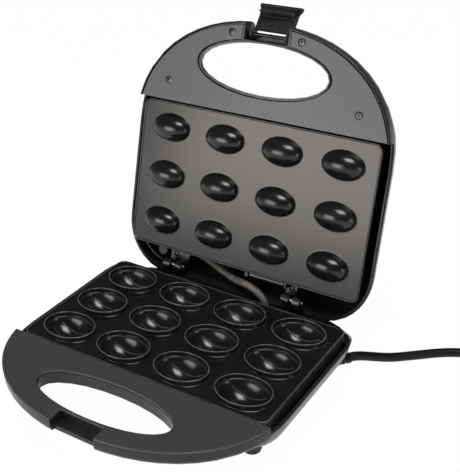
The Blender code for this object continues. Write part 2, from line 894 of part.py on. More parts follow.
def pillar(place, floor, shoulder, top):
    steps = (
        (pillar_foot_radius, floor - shell_floor),
        (pillar_foot_radius, shoulder),
        (pillar_radius, shoulder),
        (pillar_radius, top),
    )
    return upright("pillar", place, steps, pillar_sides)


def screw_bore(place, bottom, top):
    """Counterbore for a head in the outside, then a clear hole up the pillar."""
    steps = (
        (screw_bore_radius, bottom - over),
        (screw_bore_radius, bottom + screw_bore_depth),
        (screw_hole, bottom + screw_bore_depth),
        (screw_hole, top + over / 4),
    )
    return upright("bore", place, steps, screw_sides)


def shield_top(side):
    """Underside of the heater, where the heat shield hangs."""
    return heater_height(side) - heater_radius - touch_gap


def heater_height(side):
    if side == base_side:
        return -bowl_depth - bowl_wall - touch_gap - heater_radius
    return -slab - touch_gap - heater_radius


def pillar_shoulder(side):
    return shield_top(side) - shield_thickness - touch_gap


def pillar_top(side):
    depth = lower_boss_depth if side == base_side else upper_boss_depth
    return -depth - touch_gap


def build_base_housing():
    side = base_side
    floor = -base_depth + shell_floor
    keepers = [pillar(place, floor, pillar_shoulder(side), pillar_top(side)) for place in pillar_places]
    rear = reach_range(side, -deck_start, -rear_reach - over)
    keepers.append(box("deck", across(half_width), rear, (-deck_drop - deck_thickness, -deck_drop)))
    bores = [screw_bore(place, -base_depth, pillar_top(side)) for place in pillar_places]
    bores += latch_notches(side)
    sleeve_x, sleeve_y, _ = sleeve_route[-1]
    hole = ((sleeve_hole, -deck_drop - deck_thickness - over / 4), (sleeve_hole, -deck_drop + over / 4))
    bores.append(upright("sleeve", (sleeve_x, hinge_back + sleeve_y), hole, screw_sides))
    radius = bracket_screw_shank + side_gap
    for place in base_knuckle_places:
        steps = ((radius, -deck_drop - over), (radius, -deck_drop + over / 4))
        bores.append(upright("tap", bracket_screw_point(place), steps, screw_sides))
    body = housing("base_housing", side, base_depth, keepers, bores)
    cut(body, latch_shelf())
    bosses = []
    for x, u in foot_places:
        low, high = -base_depth - foot_pad, -base_depth + foot_boss_height
        steps = ((foot_boss_radius, low), (foot_boss_radius, high))
        bosses.append(upright("boss", (x, side * u), steps, pillar_sides))
    add(body, joined("bosses", bosses))
    start, end = gland_line(-gland_root - touch_gap, gland_length)
    cut(body, rod("exit", start, end, ((gland_hole, 0.0), (gland_hole, 1.0)), round_sides))
    settle(body, "black_shell", base_place(), base_place().translation)


def build_lid_housing():
    side = lid_side
    floor = -lid_depth + shell_floor
    keepers = [pillar(place, floor, pillar_shoulder(side), pillar_top(side)) for place in pillar_places]
    tab_under = -lid_tab_depth - lid_tab_thickness - touch_gap
    for place in lid_tab_screws:
        steps = ((lid_pillar_radius, floor - shell_floor), (lid_pillar_radius, tab_under))
        keepers.append(upright("mount", place, steps, pillar_sides))
    steps = ((lid_pillar_radius, floor - shell_floor), (lid_pillar_radius, -lid_boss_top))
    keepers.append(upright("mount", lid_boss_place, steps, pillar_sides))
    middle_x = post_right() - post_size[0] / 2
    keepers.append(box(
        "mount",
        (middle_x - post_size[0], middle_x + post_size[0]),
        (-spring_reach - post_size[1], -spring_reach + post_size[1]),
        (floor - shell_floor, -post_foot - touch_gap),
    ))
    for place in panel_screw_places:
        steps = ((panel_boss_radius, -lid_depth), (panel_boss_radius, 2 * over))
        keepers.append(upright("mount", place, steps, pillar_sides))
    bores = [screw_bore(place, -lid_depth, pillar_top(side)) for place in pillar_places]
    bores += latch_notches(side)
    for place in panel_screw_places:
        radius = panel_screw_shank + side_gap
        bores.append(upright("tap", place, ((radius, -panel_screw_length), (radius, over)), screw_sides))
    for place in lid_tab_screws:
        radius = bracket_screw_shank + side_gap
        steps = ((radius, tab_under - bracket_screw_length), (radius, tab_under + over / 4))
        bores.append(upright("tap", place, steps, screw_sides))
    for place in lamp_places:
        radius = lamp_radius + side_gap
        steps = ((radius, -lid_depth - over), (radius, -lid_depth + over))
        bores.append(upright("lamp", place, steps, lamp_sides))
    body = housing("lid_housing", side, lid_depth, keepers, bores)
    settle(body, "black_shell", lid_place(), hinge_point())


def build_panels():
    cover = handle_panel("base_handle_cover", base_side, ())
    settle(cover, "satin_panel", base_place(), base_place().translation)
    panel = handle_panel("lid_handle_panel", lid_side, panel_screw_places)
    settle(panel, "satin_panel", lid_place(), hinge_point())
    for number, place in enumerate(panel_screw_places, 1):
        top = handle_rise - panel_edge
        steps = (
            (panel_screw_shank, -panel_screw_length + touch_gap),
            (panel_screw_shank, handle_rise - panel_screw_head_depth),
            (panel_screw_head, handle_rise - panel_screw_head_depth),
            (panel_screw_head, top),
        )
        screw = upright(f"lid_panel_screw_{number}", place, steps, screw_sides)
        settle(screw, "steel", lid_place(), lid_place() @ Vector((*place, top)))


# Plates

def pan(side):
    rings = [
        rounded_rectangle(side, border_width + border_round, 0.0),
        rounded_rectangle(side, border_width, border_height),
        rounded_rectangle(side, border_round, border_height),
        rounded_rectangle(side, 0.0, border_height - border_round),
        rounded_rectangle(side, skirt_taper, -skirt_depth),
        rounded_rectangle(side, skirt_taper + skirt_wall, -skirt_depth),
        rounded_rectangle(side, skirt_wall + border_round, -slab),
    ]
    return ring_stack("pan", rings)


def cup_centres():
    for row in range(rows):
        for column in range(columns):
            yield ((column - (columns - 1) / 2) * column_pitch, ((rows - 1) / 2 - row) * row_pitch)


def scaled(radii, share, grow):
    return (radii[0] * share + grow, radii[1] * share + grow)


def cup_outside(centre):
    """A raised cup rim above the slab and the round back of its bowl below."""
    middle = ledge_height
    rings = [oval(centre, cup_top, cup_height, cup_sides), oval(centre, cup_foot, -slab / 3, cup_sides)]
    reach = bowl_depth + bowl_wall + middle
    for share in bowl_angle_shares:
        turn = math.pi / 2 * share
        radii = scaled(cup_ledge, math.cos(turn), bowl_wall * math.cos(turn))
        rings.append(oval(centre, radii, middle - reach * math.sin(turn), cup_sides))
    rings.append([(centre[0], centre[1], middle - reach)])
    return ring_stack("cup", rings)


def cup_inside(centre):
    """The hollow that shapes half a walnut, with the ledge that the dome's dough rests on."""
    rings = [
        oval(centre, cup_rim, cup_height + over / 4, cup_sides),
        oval(centre, cup_rim, cup_height, cup_sides),
        oval(centre, scaled(cup_rim, 1.0, -border_round), ledge_top, cup_sides),
        oval(centre, cup_ledge, ledge_height, cup_sides),
    ]
    reach = bowl_depth + ledge_height
    for share in bowl_angle_shares:
        turn = math.pi / 2 * share
        radii = scaled(cup_ledge, math.cos(turn), 0.0)
        rings.append(oval(centre, radii, ledge_height - reach * math.sin(turn), cup_sides))
    rings.append([(centre[0], centre[1], -bowl_depth)])
    return ring_stack("hollow", rings)


def dome(centre):
    rings = [oval(centre, dome_radii, -slab / 2, dome_sides)]
    for share in dome_angle_shares:
        turn = math.pi / 2 * share
        radii = scaled(dome_radii, math.cos(turn), 0.0)
        rings.append(oval(centre, radii, dome_height * math.sin(turn), dome_sides))
    rings.append([(centre[0], centre[1], dome_height)])
    return ring_stack("dome", rings)


def boss_pair(depth):
    """Round bosses under a plate, and the blind holes for their screws."""
    bosses = []
    holes = []
    post = ((plate_boss_radius, -depth), (plate_boss_radius, -slab / 2))
    bore = ((boss_bore, -depth - over), (boss_bore, -boss_bore_top))
    for place in pillar_places:
        bosses.append(upright("boss", place, post, pillar_sides))
        holes.append(upright("hole", place, bore, screw_sides))
    return bosses, holes


def build_plates():
    lower = pan(base_side)
    bosses, holes = boss_pair(lower_boss_depth)
    add(lower, joined("cups", [cup_outside(centre) for centre in cup_centres()] + bosses))
    cut(lower, joined("hollows", [cup_inside(centre) for centre in cup_centres()] + holes))
    lower.name = "lower_mould_plate"
    settle(lower, "nonstick", base_place(), base_place().translation)
    upper = pan(lid_side)
    bosses, holes = boss_pair(upper_boss_depth)
    add(upper, joined("domes", [dome(centre) for centre in cup_centres()] + bosses))
    cut(upper, joined("holes", holes))
    upper.name = "upper_mould_plate"
    settle(upper, "nonstick", lid_place(), hinge_point())


def build_plate_screws():
    for side, name, depth in ((base_side, "base_screw", base_depth), (lid_side, "lid_screw", lid_depth)):
        place = base_place() if side == base_side else lid_place()
        seat = -depth + screw_bore_depth - touch_gap
        for number, centre in enumerate(pillar_places, 1):
            steps = (
                (screw_head, seat - screw_head_depth),
                (screw_head, seat),
                (screw_shank, seat),
                (screw_shank, -screw_end),
            )
            screw = upright(f"{name}_{number}", centre, steps, screw_sides)
            settle(screw, "steel", place, place @ Vector((*centre, seat)))


# Heaters, shields and the base's electrical parts

def poly_tube(name, points, radius, resolution, key, origin):
    curve = bpy.data.curves.new(name, "CURVE")
    curve.dimensions = "3D"
    curve.bevel_depth = radius
    curve.bevel_resolution = resolution
    curve.use_fill_caps = True
    spline = curve.splines.new("POLY")
    spline.points.add(len(points) - 1)
    for point, place in zip(spline.points, points):
        point.co = (*(place - origin), 1.0)
    curve.materials.append(finish_material(key))
    obj = link_new(name, curve)
    obj.location = origin
    return obj


def build_heaters():
    halves = (
        ("lower_heater_tube", "lower_heat_shield", base_side, base_place(), base_place().translation),
        ("upper_heater_tube", "upper_heat_shield", lid_side, lid_place(), hinge_point()),
    )
    for tube_name, shield_name, side, place, origin in halves:
        height = heater_height(side)
        points = [Vector((heater_leg, row_pitch, height))]
        for i in range(heater_bend_steps + 1):
            turn = math.pi * (0.5 + i / heater_bend_steps)
            x, y = heater_bend + row_pitch * math.cos(turn), row_pitch * math.sin(turn)
            points.append(Vector((x, y, height)))
        points.append(Vector((heater_leg, -row_pitch, height)))
        poly_tube(tube_name, [place @ p for p in points], heater_radius, 1, "steel", origin)
        top = shield_top(side)
        span = reach_range(side, shield_front, -shield_rear)
        shield = box(shield_name, across(shield_half_width), span, (top - shield_thickness, top))
        holes = []
        for centre in pillar_places:
            steps = ((shield_hole, top - over), (shield_hole, top + over))
            holes.append(upright("hole", centre, steps, screw_sides))
        cut(shield, joined("holes", holes))
        settle(shield, "aluminised", place, origin)


def build_electrics():
    place = base_place()
    middle = row_pitch / 2
    top = -slab - touch_gap
    steps = ((thermostat_radius, top - thermostat_height), (thermostat_radius, top))
    thermostat = upright("thermostat", (0.0, -middle), steps, round_sides)
    settle(thermostat, "ceramic", place, place @ Vector((0.0, -middle, top)))
    height = top - fuse_radius
    ends = (Vector((-fuse_length / 2, middle, height)), Vector((fuse_length / 2, middle, height)))
    fuse = rod("thermal_fuse", *ends, ((fuse_radius, 0.0), (fuse_radius, 1.0)), screw_sides)
    settle(fuse, "zinc", place, place @ Vector((0.0, middle, height)))
    x, y = block_place
    floor = -base_depth + shell_floor + touch_gap
    block = box(
        "terminal_block",
        (x - block_size[0] / 2, x + block_size[0] / 2),
        (y - block_size[1] / 2, y + block_size[1] / 2),
        (floor, floor + block_size[2]),
    )
    settle(block, "ceramic", place, place @ Vector((x, y, floor)))


def build_feet():
    place = base_place()
    for number, (x, u) in enumerate(foot_places, 1):
        top = -base_depth - foot_pad - touch_gap
        edge = -plate_height + foot_edge
        steps = ((foot_bottom_radius, -plate_height), (foot_top_radius, edge), (foot_top_radius, top))
        foot = upright(f"base_foot_{number}", (x, base_side * u), steps, foot_sides)
        settle(foot, "rubber", place, place @ Vector((x, base_side * u, top)))


# Hinges

def bracket_screw_point(knuckle):
    outward = math.copysign(knuckle_width / 2 + arm_foot_length - bracket_screw_inset, knuckle)
    return (knuckle + outward, sum(arm_foot_span) / 2)


def knuckle_rod(name, x, centre, width, radius):
    half = width / 2
    ends = (Vector((x - half, *centre)), Vector((x + half, *centre)))
    return rod(name, *ends, ((radius, 0.0), (radius, 1.0)), knuckle_sides)


def build_base_brackets():
    place = base_place()
    axis = (hinge_back, hinge_height)
    low = -deck_drop + touch_gap
    for word, x in zip(("left", "right"), base_knuckle_places):
        bracket = knuckle_rod(f"base_hinge_bracket_{word}", x, axis, knuckle_width, knuckle_radius)
        half = knuckle_width / 2
        add(bracket, box("arm", (x - half + side_gap, x + half - side_gap), arm_span, (low, hinge_height)))
        outer = x + math.copysign(half + arm_foot_length, x)
        foot_range = tuple(sorted((x, outer)))
        add(bracket, box("foot", foot_range, arm_foot_span, (low, low + arm_foot_thickness)))
        point = bracket_screw_point(x)
        radius = bracket_screw_shank + side_gap
        bore = ((radius, low - over / 4), (radius, low + over / 4))
        cut(bracket, upright("bore", point, bore, screw_sides))
        cut(bracket, knuckle_rod("bore", x, axis, knuckle_width + over, hinge_pin_radius + side_gap))
        settle(bracket, "zinc", place, hinge_point())
        top = low + arm_foot_thickness
        steps = (
            (bracket_screw_shank, top - bracket_screw_length),
            (bracket_screw_shank, top + side_gap),
            (bracket_screw_radius, top + side_gap),
            (bracket_screw_radius, top + side_gap + bracket_screw_head),
        )
        screw = upright(f"base_hinge_screw_{word}", point, steps, screw_sides)
        settle(screw, "steel", place, place @ Vector((*point, top)))
    for word, outer, inner in zip(("left", "right"), base_knuckle_places, lid_knuckle_places):
        reach = knuckle_width / 2 + pin_overhang
        ends = sorted((outer + math.copysign(reach, outer), inner - math.copysign(reach, outer)))
        pin = rod(
            f"hinge_pin_{word}",
            Vector((ends[0], *axis)),
            Vector((ends[1], *axis)),
            ((hinge_pin_radius, 0.0), (hinge_pin_radius, 1.0)),
            knuckle_sides,
        )
        settle(pin, "steel", place, hinge_point())


def build_lid_brackets():
    place = lid_place()
    axis = (-hinge_back, closed_gap - hinge_height)
    tab_heights = (-lid_tab_depth - lid_tab_thickness, -lid_tab_depth)
    words = ("left", "right")
    for word, x, x_range, screw_place in zip(words, lid_knuckle_places, lid_tab_ranges, lid_tab_screws):
        half = knuckle_width / 2 - side_gap
        bracket = knuckle_rod(f"lid_hinge_bracket_{word}", x, axis, knuckle_width, knuckle_radius)
        arm_y = reach_range(-1, *lid_arm_span)
        add(bracket, box("arm", (x - half, x + half), arm_y, (tab_heights[0] + side_gap, axis[1])))
        add(bracket, box("tab", x_range, reach_range(-1, *lid_tab_span), tab_heights))
        if word == "right":
            inner = spring_ends[1] + 2 * wire_radius + touch_gap
            ear_y = (-spring_reach - ear_half_height, -spring_reach + ear_half_height)
            ear_z = (tab_heights[0] + 2 * side_gap, -spring_depth + ear_half_height)
            add(bracket, box("ear", (inner, inner + ear_thickness), ear_y, ear_z))
        radius = bracket_screw_shank + side_gap
        bore = ((radius, tab_heights[0] - over / 4), (radius, tab_heights[1] + over / 4))
        cut(bracket, upright("bore", screw_place, bore, screw_sides))
        cut(bracket, knuckle_rod("bore", x, axis, knuckle_width + over, hinge_pin_radius + side_gap))
        settle(bracket, "zinc", place, hinge_point())
        steps = (
            (bracket_screw_shank, tab_heights[1] - bracket_screw_length),
            (bracket_screw_shank, tab_heights[1] + side_gap),
            (bracket_screw_radius, tab_heights[1] + side_gap),
            (bracket_screw_radius, tab_heights[1] + side_gap + bracket_screw_head),
        )
        screw = upright(f"lid_hinge_screw_{word}", screw_place, steps, screw_sides)
        settle(screw, "steel", place, place @ Vector((*screw_place, tab_heights[1])))


def least_gap(points, radius, skip):
    """Smallest surface gap between parts of a tube that lie further along it than skip points."""
    least = math.inf
    for i in range(len(points)):
        for j in range(i + skip, len(points)):
            least = min(least, (points[i] - points[j]).length)
    return least - 2 * radius


def post_right():
    return spring_ends[0] - 2 * wire_radius - touch_gap


def build_spring():
    place = lid_place()
    centre = Vector((0.0, -spring_reach, -spring_depth))
    start, end = spring_ends
    count = spring_curls * spring_points
    straight = Vector((2 * wire_radius, 0.0, 0.0))
    points = []
    for i in range(count + 1):
        turn = 2 * math.pi * i / spring_points
        x = start + (end - start) * i / count
        points.append(centre + Vector((x, spring_radius * math.cos(turn), spring_radius * math.sin(turn))))
    points.insert(0, points[0] - straight)
    points.append(points[-1] + straight)
    print("spring gap mm", round(least_gap(points, wire_radius, spring_points - 2) * 1000, 3))
    poly_tube("hinge_spring", [place @ p for p in points], wire_radius, 1, "steel", hinge_point())
    post = box(
        "spring_post",
        (post_right() - post_size[0], post_right()),
        (-spring_reach - post_size[1] / 2, -spring_reach + post_size[1] / 2),
        (-post_foot, -post_top),
    )
    settle(post, "zinc", place, hinge_point())


# Latch

def build_latch():
    place = lid_place()
    half = lid_notch_half_width - touch_gap
    height = -latch_depth
    ends = (Vector((-half, latch_reach, height)), Vector((half, latch_reach, height)))
    pin = rod("latch_pin", *ends, ((latch_pin_radius, 0.0), (latch_pin_radius, 1.0)), knuckle_sides)
    settle(pin, "steel", place, latch_point())
    # Drawn as it hangs when hooked: X across, Y away from the handles and Z along the lever.
    inner = lever_offset
    outer = lever_offset + lever_thickness
    lever = box("latch_lever", across(lever_half_width), (inner, outer), (lever_start, lever_length))
    for sign in (-1, 1):
        faces = sorted((sign * lever_half_width, sign * (lever_half_width - lever_ear)))
        ends = (Vector((faces[0], 0.0, 0.0)), Vector((faces[1], 0.0, 0.0)))
        eye = rod("eye", *ends, ((lever_ear_radius, 0.0), (lever_ear_radius, 1.0)), knuckle_sides)
        inset = (faces[0] + side_gap, faces[1] - side_gap)
        web = (-lever_ear_radius + lever_thickness / 2, outer - side_gap)
        add(eye, box("web", inset, web, (0.0, lever_start + lever_thickness)))
        add(lever, eye)
    hook, back = lever_hook, lever_hook + lever_nose_depth
    root = inner + side_gap
    profile = ((-lever_nose_reach, hook), (root, hook), (root, back), (-lever_nose_reach / 2, back))
    width = lever_half_width - lever_ear
    nose = ring_stack("nose", [[(x, y, z) for y, z in profile] for x in (-width, width)])
    add(lever, nose)
    ribs = []
    for share in lever_rib_shares:
        z = lever_start + (lever_length - lever_start) * share
        thickness = (outer - side_gap, outer + lever_rib)
        ribs.append(box("rib", across(width), thickness, (z, z + lever_rib_width)))
    add(lever, joined("ribs", ribs))
    reach = Vector((lever_half_width + over, 0.0, 0.0))
    radius = latch_pin_radius + side_gap
    cut(lever, rod("bore", -reach, reach, ((radius, 0.0), (radius, 1.0)), knuckle_sides))
    swing = Matrix.Translation((0.0, latch_reach, height)) @ Matrix.Rotation(-lever_open_angle, 4, "X")
    settle(lever, "lever", place @ swing, latch_point())


def build_lamps():
    place = lid_place()
    names = ("power_lamp_lens", "ready_lamp_lens")
    for name, centre, key in zip(names, lamp_places, ("red_lens", "green_lens")):
        steps = (
            (lamp_radius / 2, -lid_depth - lamp_rise),
            (lamp_radius, -lid_depth - lamp_rise / 2),
            (lamp_radius, -lid_depth + lamp_depth),
        )
        lens = upright(name, centre, steps, lamp_sides)
        settle(lens, key, place, place @ Vector((*centre, -lid_depth)))


# Sleeve and cord

def smooth_curve(route, count):
    """Points at even steps along a smooth curve through the route."""
    nodes = [Vector(p) for p in route]
    padded = [2 * nodes[0] - nodes[1]] + nodes + [2 * nodes[-1] - nodes[-2]]
    fine = []
    for a, b, c, d in zip(padded, padded[1:], padded[2:], padded[3:]):
        for i in range(curve_steps):
            t = i / curve_steps
            bend = 2 * a - 5 * b + 4 * c - d
            twist = 3 * b - a - 3 * c + d
            fine.append((2 * b + (c - a) * t + bend * t ** 2 + twist * t ** 3) / 2)
    fine.append(nodes[-1])
    lengths = [0.0]
    for a, b in zip(fine, fine[1:]):
        lengths.append(lengths[-1] + (b - a).length)
    points = []
    at = 0
    for i in range(count):
        wanted = lengths[-1] * i / (count - 1)
        while at < len(lengths) - 2 and lengths[at + 1] < wanted:
            at += 1
        span = lengths[at + 1] - lengths[at]
        points.append(fine[at].lerp(fine[at + 1], (wanted - lengths[at]) / span))
    return points


def path_length(points):
    return sum((b - a).length for a, b in zip(points, points[1:]))


def build_sleeve():
    place = base_place()
    points = smooth_curve([(x, hinge_back + y, z) for x, y, z in sleeve_route], sleeve_points)
    poly_tube("wire_sleeve", [place @ p for p in points], sleeve_radius, 2, "braid", place.translation)


def gland_line(before, after):
    """Two points on the gland's line, in the base's frame, at these distances from its start."""
    direction = Vector((*gland_direction, 0.0)).normalized()
    start = Vector((*gland_start, gland_height - plate_height))
    return start + direction * before, start + direction * after


def build_gland():
    place = base_place()
    inside, tip = gland_line(-gland_root, gland_length)
    full = gland_root + gland_length
    steps = [(gland_root_radius, 0.0), (gland_root_radius, gland_root / full)]
    for i in range(gland_lands):
        share = (i + 1) / gland_lands
        radius = gland_root_radius + (gland_tip_radius - gland_root_radius) * share
        steps.append((radius, (gland_root + gland_length * share) / full))
    gland = rod("cord_strain_relief", inside, tip, steps, round_sides)
    settle(gland, "cord_black", place, place @ inside)
    direction = Vector((*gland_direction, 0.0)).normalized()
    side_way = Vector((-direction.y, direction.x, 0.0))
    middle = inside + direction * (gland_root / 4)
    low = middle.z + gland_root_radius + touch_gap
    ring = []
    for a, b in ((-1, -1), (1, -1), (1, 1), (-1, 1)):
        ring.append(middle + side_way * (a * clamp_size[0] / 2) + direction * (b * clamp_size[1] / 2))
    levels = (low, low + clamp_size[2])
    clamp = ring_stack("cord_clamp", [[(p.x, p.y, level) for p in ring] for level in levels])
    settle(clamp, "zinc", place, place @ middle)


def coil_path():
    """Spirals in along the bottom layer, climbs where it turns round, and spirals out on top."""
    low = cord_radius + coil_lift
    total = 2 * coil_loops * coil_points
    turn_round = coil_loops * coil_points
    climb = coil_points / 4
    points = []
    for i in range(total + 1):
        away = abs(i - turn_round) / coil_points
        radius = coil_outer - coil_pitch * (coil_loops - away)
        share = min(max((i - turn_round + climb) / (2 * climb), 0.0), 1.0)
        angle = math.pi / 2 - 2 * math.pi * i / coil_points
        x = coil_centre[0] + radius * math.cos(angle)
        y = coil_centre[1] + radius * math.sin(angle)
        points.append(Vector((x, y, low + coil_pitch * share)))
    straight = Vector((2 * cord_radius, 0.0, 0.0))
    points.insert(0, points[0] - straight)
    points.append(points[-1] + Vector((coil_exit, 0.0, 0.0)))
    return points


def build_cord():
    ground = Matrix.Translation((0.0, front_to_back_shift, 0.0))
    coil = coil_path()
    print("coil gap mm", round(least_gap(coil[1:-1], cord_radius, coil_points // 2) * 1000, 3))
    poly_tube("power_cord_coil", [ground @ p for p in coil], cord_radius, 1, "cord_black", ground @ coil[1])
    tip = gland_line(0.0, gland_length + touch_gap)[1] + Vector((0.0, 0.0, plate_height))
    direction = Vector((*gland_direction, 0.0)).normalized()
    run = Vector((2 * cord_radius, 0.0, 0.0))
    end = coil[0] - Vector((touch_gap, 0.0, 0.0))
    middle = [Vector((gland_start[0] + x, gland_start[1] + y, z)) for x, y, z in cord_route]
    route = [tip + direction * 2 * cord_radius] + middle + [end - run]
    points = [tip] + smooth_curve(route, cord_points) + [end]
    poly_tube("power_cord", [ground @ p for p in points], cord_radius, 2, "cord_black", ground @ tip)
    print("cord length mm", round((path_length(points) + path_length(coil) + gland_length) * 1000, 1))
    build_tie(ground)
    build_plug(ground, coil[-1])


def build_tie(ground):
    """A flat strap round the bundle, opposite the cord's way in."""
    mid = coil_pitch / 2
    inner = coil_outer - coil_loops * coil_pitch + mid - cord_radius - tie_clearance
    outer = coil_outer - mid + cord_radius + tie_clearance
    top = coil_lift + coil_pitch + 2 * cord_radius + tie_clearance
    hollow_y = (coil_centre[1] - outer, coil_centre[1] - inner)
    half = tie_width / 2
    x_range = (coil_centre[0] - half, coil_centre[0] + half)
    strap = box(
        "cord_tie",
        x_range,
        (hollow_y[0] - tie_thickness, hollow_y[1] + tie_thickness),
        (0.0, top + tie_thickness),
    )
    cut(strap, box("hollow", (x_range[0] - over, x_range[1] + over), hollow_y, (tie_thickness, top)))
    settle(strap, "rubber", ground, ground @ Vector((*coil_centre, 0.0)))


def build_plug(ground, end):
    x = end.x + touch_gap
    middle = end.z
    outlines = (
        (x, cord_radius + touch_gap),
        (x + plug_nose, plug_grip_half_width),
        (x + plug_length / 2, plug_grip_half_width),
        (x + plug_length - plug_nose, plug_half_width),
        (x + plug_length, plug_half_width),
    )
    rings = []
    for place, half in outlines:
        height = half * middle / plug_half_width
        c = half / 4
        corners = ((-half + c, -height), (half - c, -height), (half, -height + c), (half, height - c))
        corners += ((half - c, height), (-half + c, height), (-half, height - c), (-half, -height + c))
        rings.append([(place, end.y + a, middle + b) for a, b in corners])
    plug = ring_stack("plug_body", rings)
    face = x + plug_length
    for sign in (-1, 1):
        y = end.y + sign * prong_offset
        room = box(
            "room",
            (face - prong_seat, face + over),
            (y - prong_half_thickness - side_gap, y + prong_half_thickness + side_gap),
            (middle - prong_half_height - side_gap, middle + prong_half_height + side_gap),
        )
        cut(plug, room)
    settle(plug, "cord_black", ground, ground @ end)
    for number, sign in ((1, -1), (2, 1)):
        y = end.y + sign * prong_offset
        prong = box(
            f"plug_pin_{number}",
            (face - prong_seat + touch_gap, face + prong_length),
            (y - prong_half_thickness, y + prong_half_thickness),
            (middle - prong_half_height, middle + prong_half_height),
        )
        settle(prong, "brass", ground, ground @ end)


clear_scene()
build_base_housing()
build_lid_housing()
build_panels()
build_plates()
build_plate_screws()
build_heaters()
build_electrics()
build_feet()
build_base_brackets()
build_lid_brackets()
build_spring()
build_latch()
build_lamps()
build_sleeve()
build_gland()
build_cord()
print("nodes", len(bpy.context.scene.collection.objects))
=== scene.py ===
import json
from math import asin, atan2, copysign, cos, pi, radians, sin, sqrt

import bmesh
import bpy
from mathutils import Matrix, Vector


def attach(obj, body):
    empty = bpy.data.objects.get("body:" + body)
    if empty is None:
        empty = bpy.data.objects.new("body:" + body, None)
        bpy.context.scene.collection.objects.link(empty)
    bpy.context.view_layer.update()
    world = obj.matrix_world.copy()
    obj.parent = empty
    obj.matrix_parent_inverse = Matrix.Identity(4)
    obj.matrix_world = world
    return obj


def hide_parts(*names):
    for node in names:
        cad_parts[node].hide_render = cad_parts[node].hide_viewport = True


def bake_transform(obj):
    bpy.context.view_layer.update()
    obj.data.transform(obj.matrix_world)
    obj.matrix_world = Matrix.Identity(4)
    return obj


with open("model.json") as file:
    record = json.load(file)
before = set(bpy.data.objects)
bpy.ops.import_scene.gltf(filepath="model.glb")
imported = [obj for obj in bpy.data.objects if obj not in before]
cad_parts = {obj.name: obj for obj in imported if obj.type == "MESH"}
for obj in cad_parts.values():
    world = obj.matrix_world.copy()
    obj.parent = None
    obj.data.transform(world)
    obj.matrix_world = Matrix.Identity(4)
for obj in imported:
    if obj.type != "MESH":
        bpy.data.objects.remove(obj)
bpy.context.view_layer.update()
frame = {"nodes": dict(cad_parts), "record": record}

nodes = frame["nodes"]
print("frame loaded:", len(nodes), "nodes")


def addObject(name, data):
    thing = bpy.data.objects.new(name, data)
    bpy.context.scene.collection.objects.link(thing)
    return thing


# Where the two halves stand. Each half is drawn flat: X across, Y as in the room for the base,
# and for the lid Y towards its handle with Z out of its plate.
stand = {
    "plateHeight": 0.0425, "shift": -0.0137, "closedGap": 0.0046,
    "hingeBack": 0.0761, "hingeHeight": 0.0034, "openDegrees": 106.0,
}
basePlace = Matrix.Translation((0, stand["shift"], stand["plateHeight"]))
hinge = Vector((0, stand["hingeBack"], stand["hingeHeight"]))
openTurn = Matrix.Rotation(-radians(stand["openDegrees"]), 4, "X")
overTurn = Matrix.Rotation(pi, 4, "X")
lidPlace = (
    basePlace @ Matrix.Translation(hinge) @ openTurn
    @ Matrix.Translation(-hinge) @ Matrix.Translation((0, 0, stand["closedGap"])) @ overTurn
)
placeOf = {"base": basePlace, "lid": lidPlace, "ground": Matrix.Translation((0, stand["shift"], 0))}


# Shader building

def addNode(tree, kind, values=None, **settings):
    # kind is a shader node's name without its first word, or another node's whole name
    node = tree.nodes.new(kind if "Node" in kind else "ShaderNode" + kind)
    for key, value in settings.items():
        setattr(node, key, value)
    for key, value in (values or {}).items():
        node.inputs[key].default_value = value
    return node


def linkAll(tree, rows):
    # each row is a node and its output, then a node and its input
    for source, output, target, socket in rows:
        tree.links.new(source.outputs[output], target.inputs[socket])


def makeGroup(name, inputs, outputs):
    # a group whose sockets are all plain numbers
    group = bpy.data.node_groups.new(name, "ShaderNodeTree")
    for label, value in inputs.items():
        socket = group.interface.new_socket(name=label, in_out="INPUT", socket_type="NodeSocketFloat")
        socket.default_value = value
    for label in outputs:
        group.interface.new_socket(name=label, in_out="OUTPUT", socket_type="NodeSocketFloat")
    return group, group.nodes.new("NodeGroupInput"), group.nodes.new("NodeGroupOutput")


def grainGroup():
    # fine moulded or sprayed grain: a height for bump and a slow drift in tone
    inputs = {"Grain Scale": 2400.0, "Drift Scale": 22.0, "Contrast": 1.0}
    group, start, end = makeGroup("moulded grain", inputs, ("Height", "Drift"))
    place = addNode(group, "TexCoord")
    fine = addNode(group, "TexNoise", {"Detail": 3.0, "Roughness": 0.6})
    slow = addNode(group, "TexNoise", {"Detail": 4.0, "Roughness": 0.55})
    spread = addNode(group, "MapRange", {"From Min": 0.3, "From Max": 0.7})
    drift = addNode(group, "Math", operation="MULTIPLY")
    linkAll(group, (
        (place, "Object", fine, "Vector"), (start, "Grain Scale", fine, "Scale"),
        (fine, "Fac", end, "Height"), (place, "Object", slow, "Vector"),
        (start, "Drift Scale", slow, "Scale"), (slow, "Fac", spread, "Value"),
        (spread, "Result", drift, 0), (start, "Contrast", drift, 1), (drift, 0, end, "Drift"),
    ))
    return group


def edgeWearAndSheenGroup():
    # a mask of sharp edges broken up into patches, which carries edge wear and also a painted highlight
    # along the edges
    group, start, end = makeGroup("worn edges and painted sheen", {"Width": 0.06, "Breakup": 180.0}, ("Edge",))
    flat = 0.51  # pointiness just above that of a flat face
    shape = addNode(group, "NewGeometry")
    place = addNode(group, "TexCoord")
    patches = addNode(group, "TexNoise", {"Detail": 3.0})
    high = addNode(group, "Math", {0: flat}, operation="ADD")
    edge = addNode(group, "MapRange", {"From Min": flat})
    broken = addNode(group, "Math", operation="MULTIPLY")
    linkAll(group, (
        (place, "Object", patches, "Vector"), (start, "Breakup", patches, "Scale"),
        (start, "Width", high, 1), (shape, "Pointiness", edge, "Value"), (high, 0, edge, "From Max"),
        (edge, "Result", broken, 0), (patches, "Fac", broken, 1), (broken, 0, end, "Edge"),
    ))
    return group


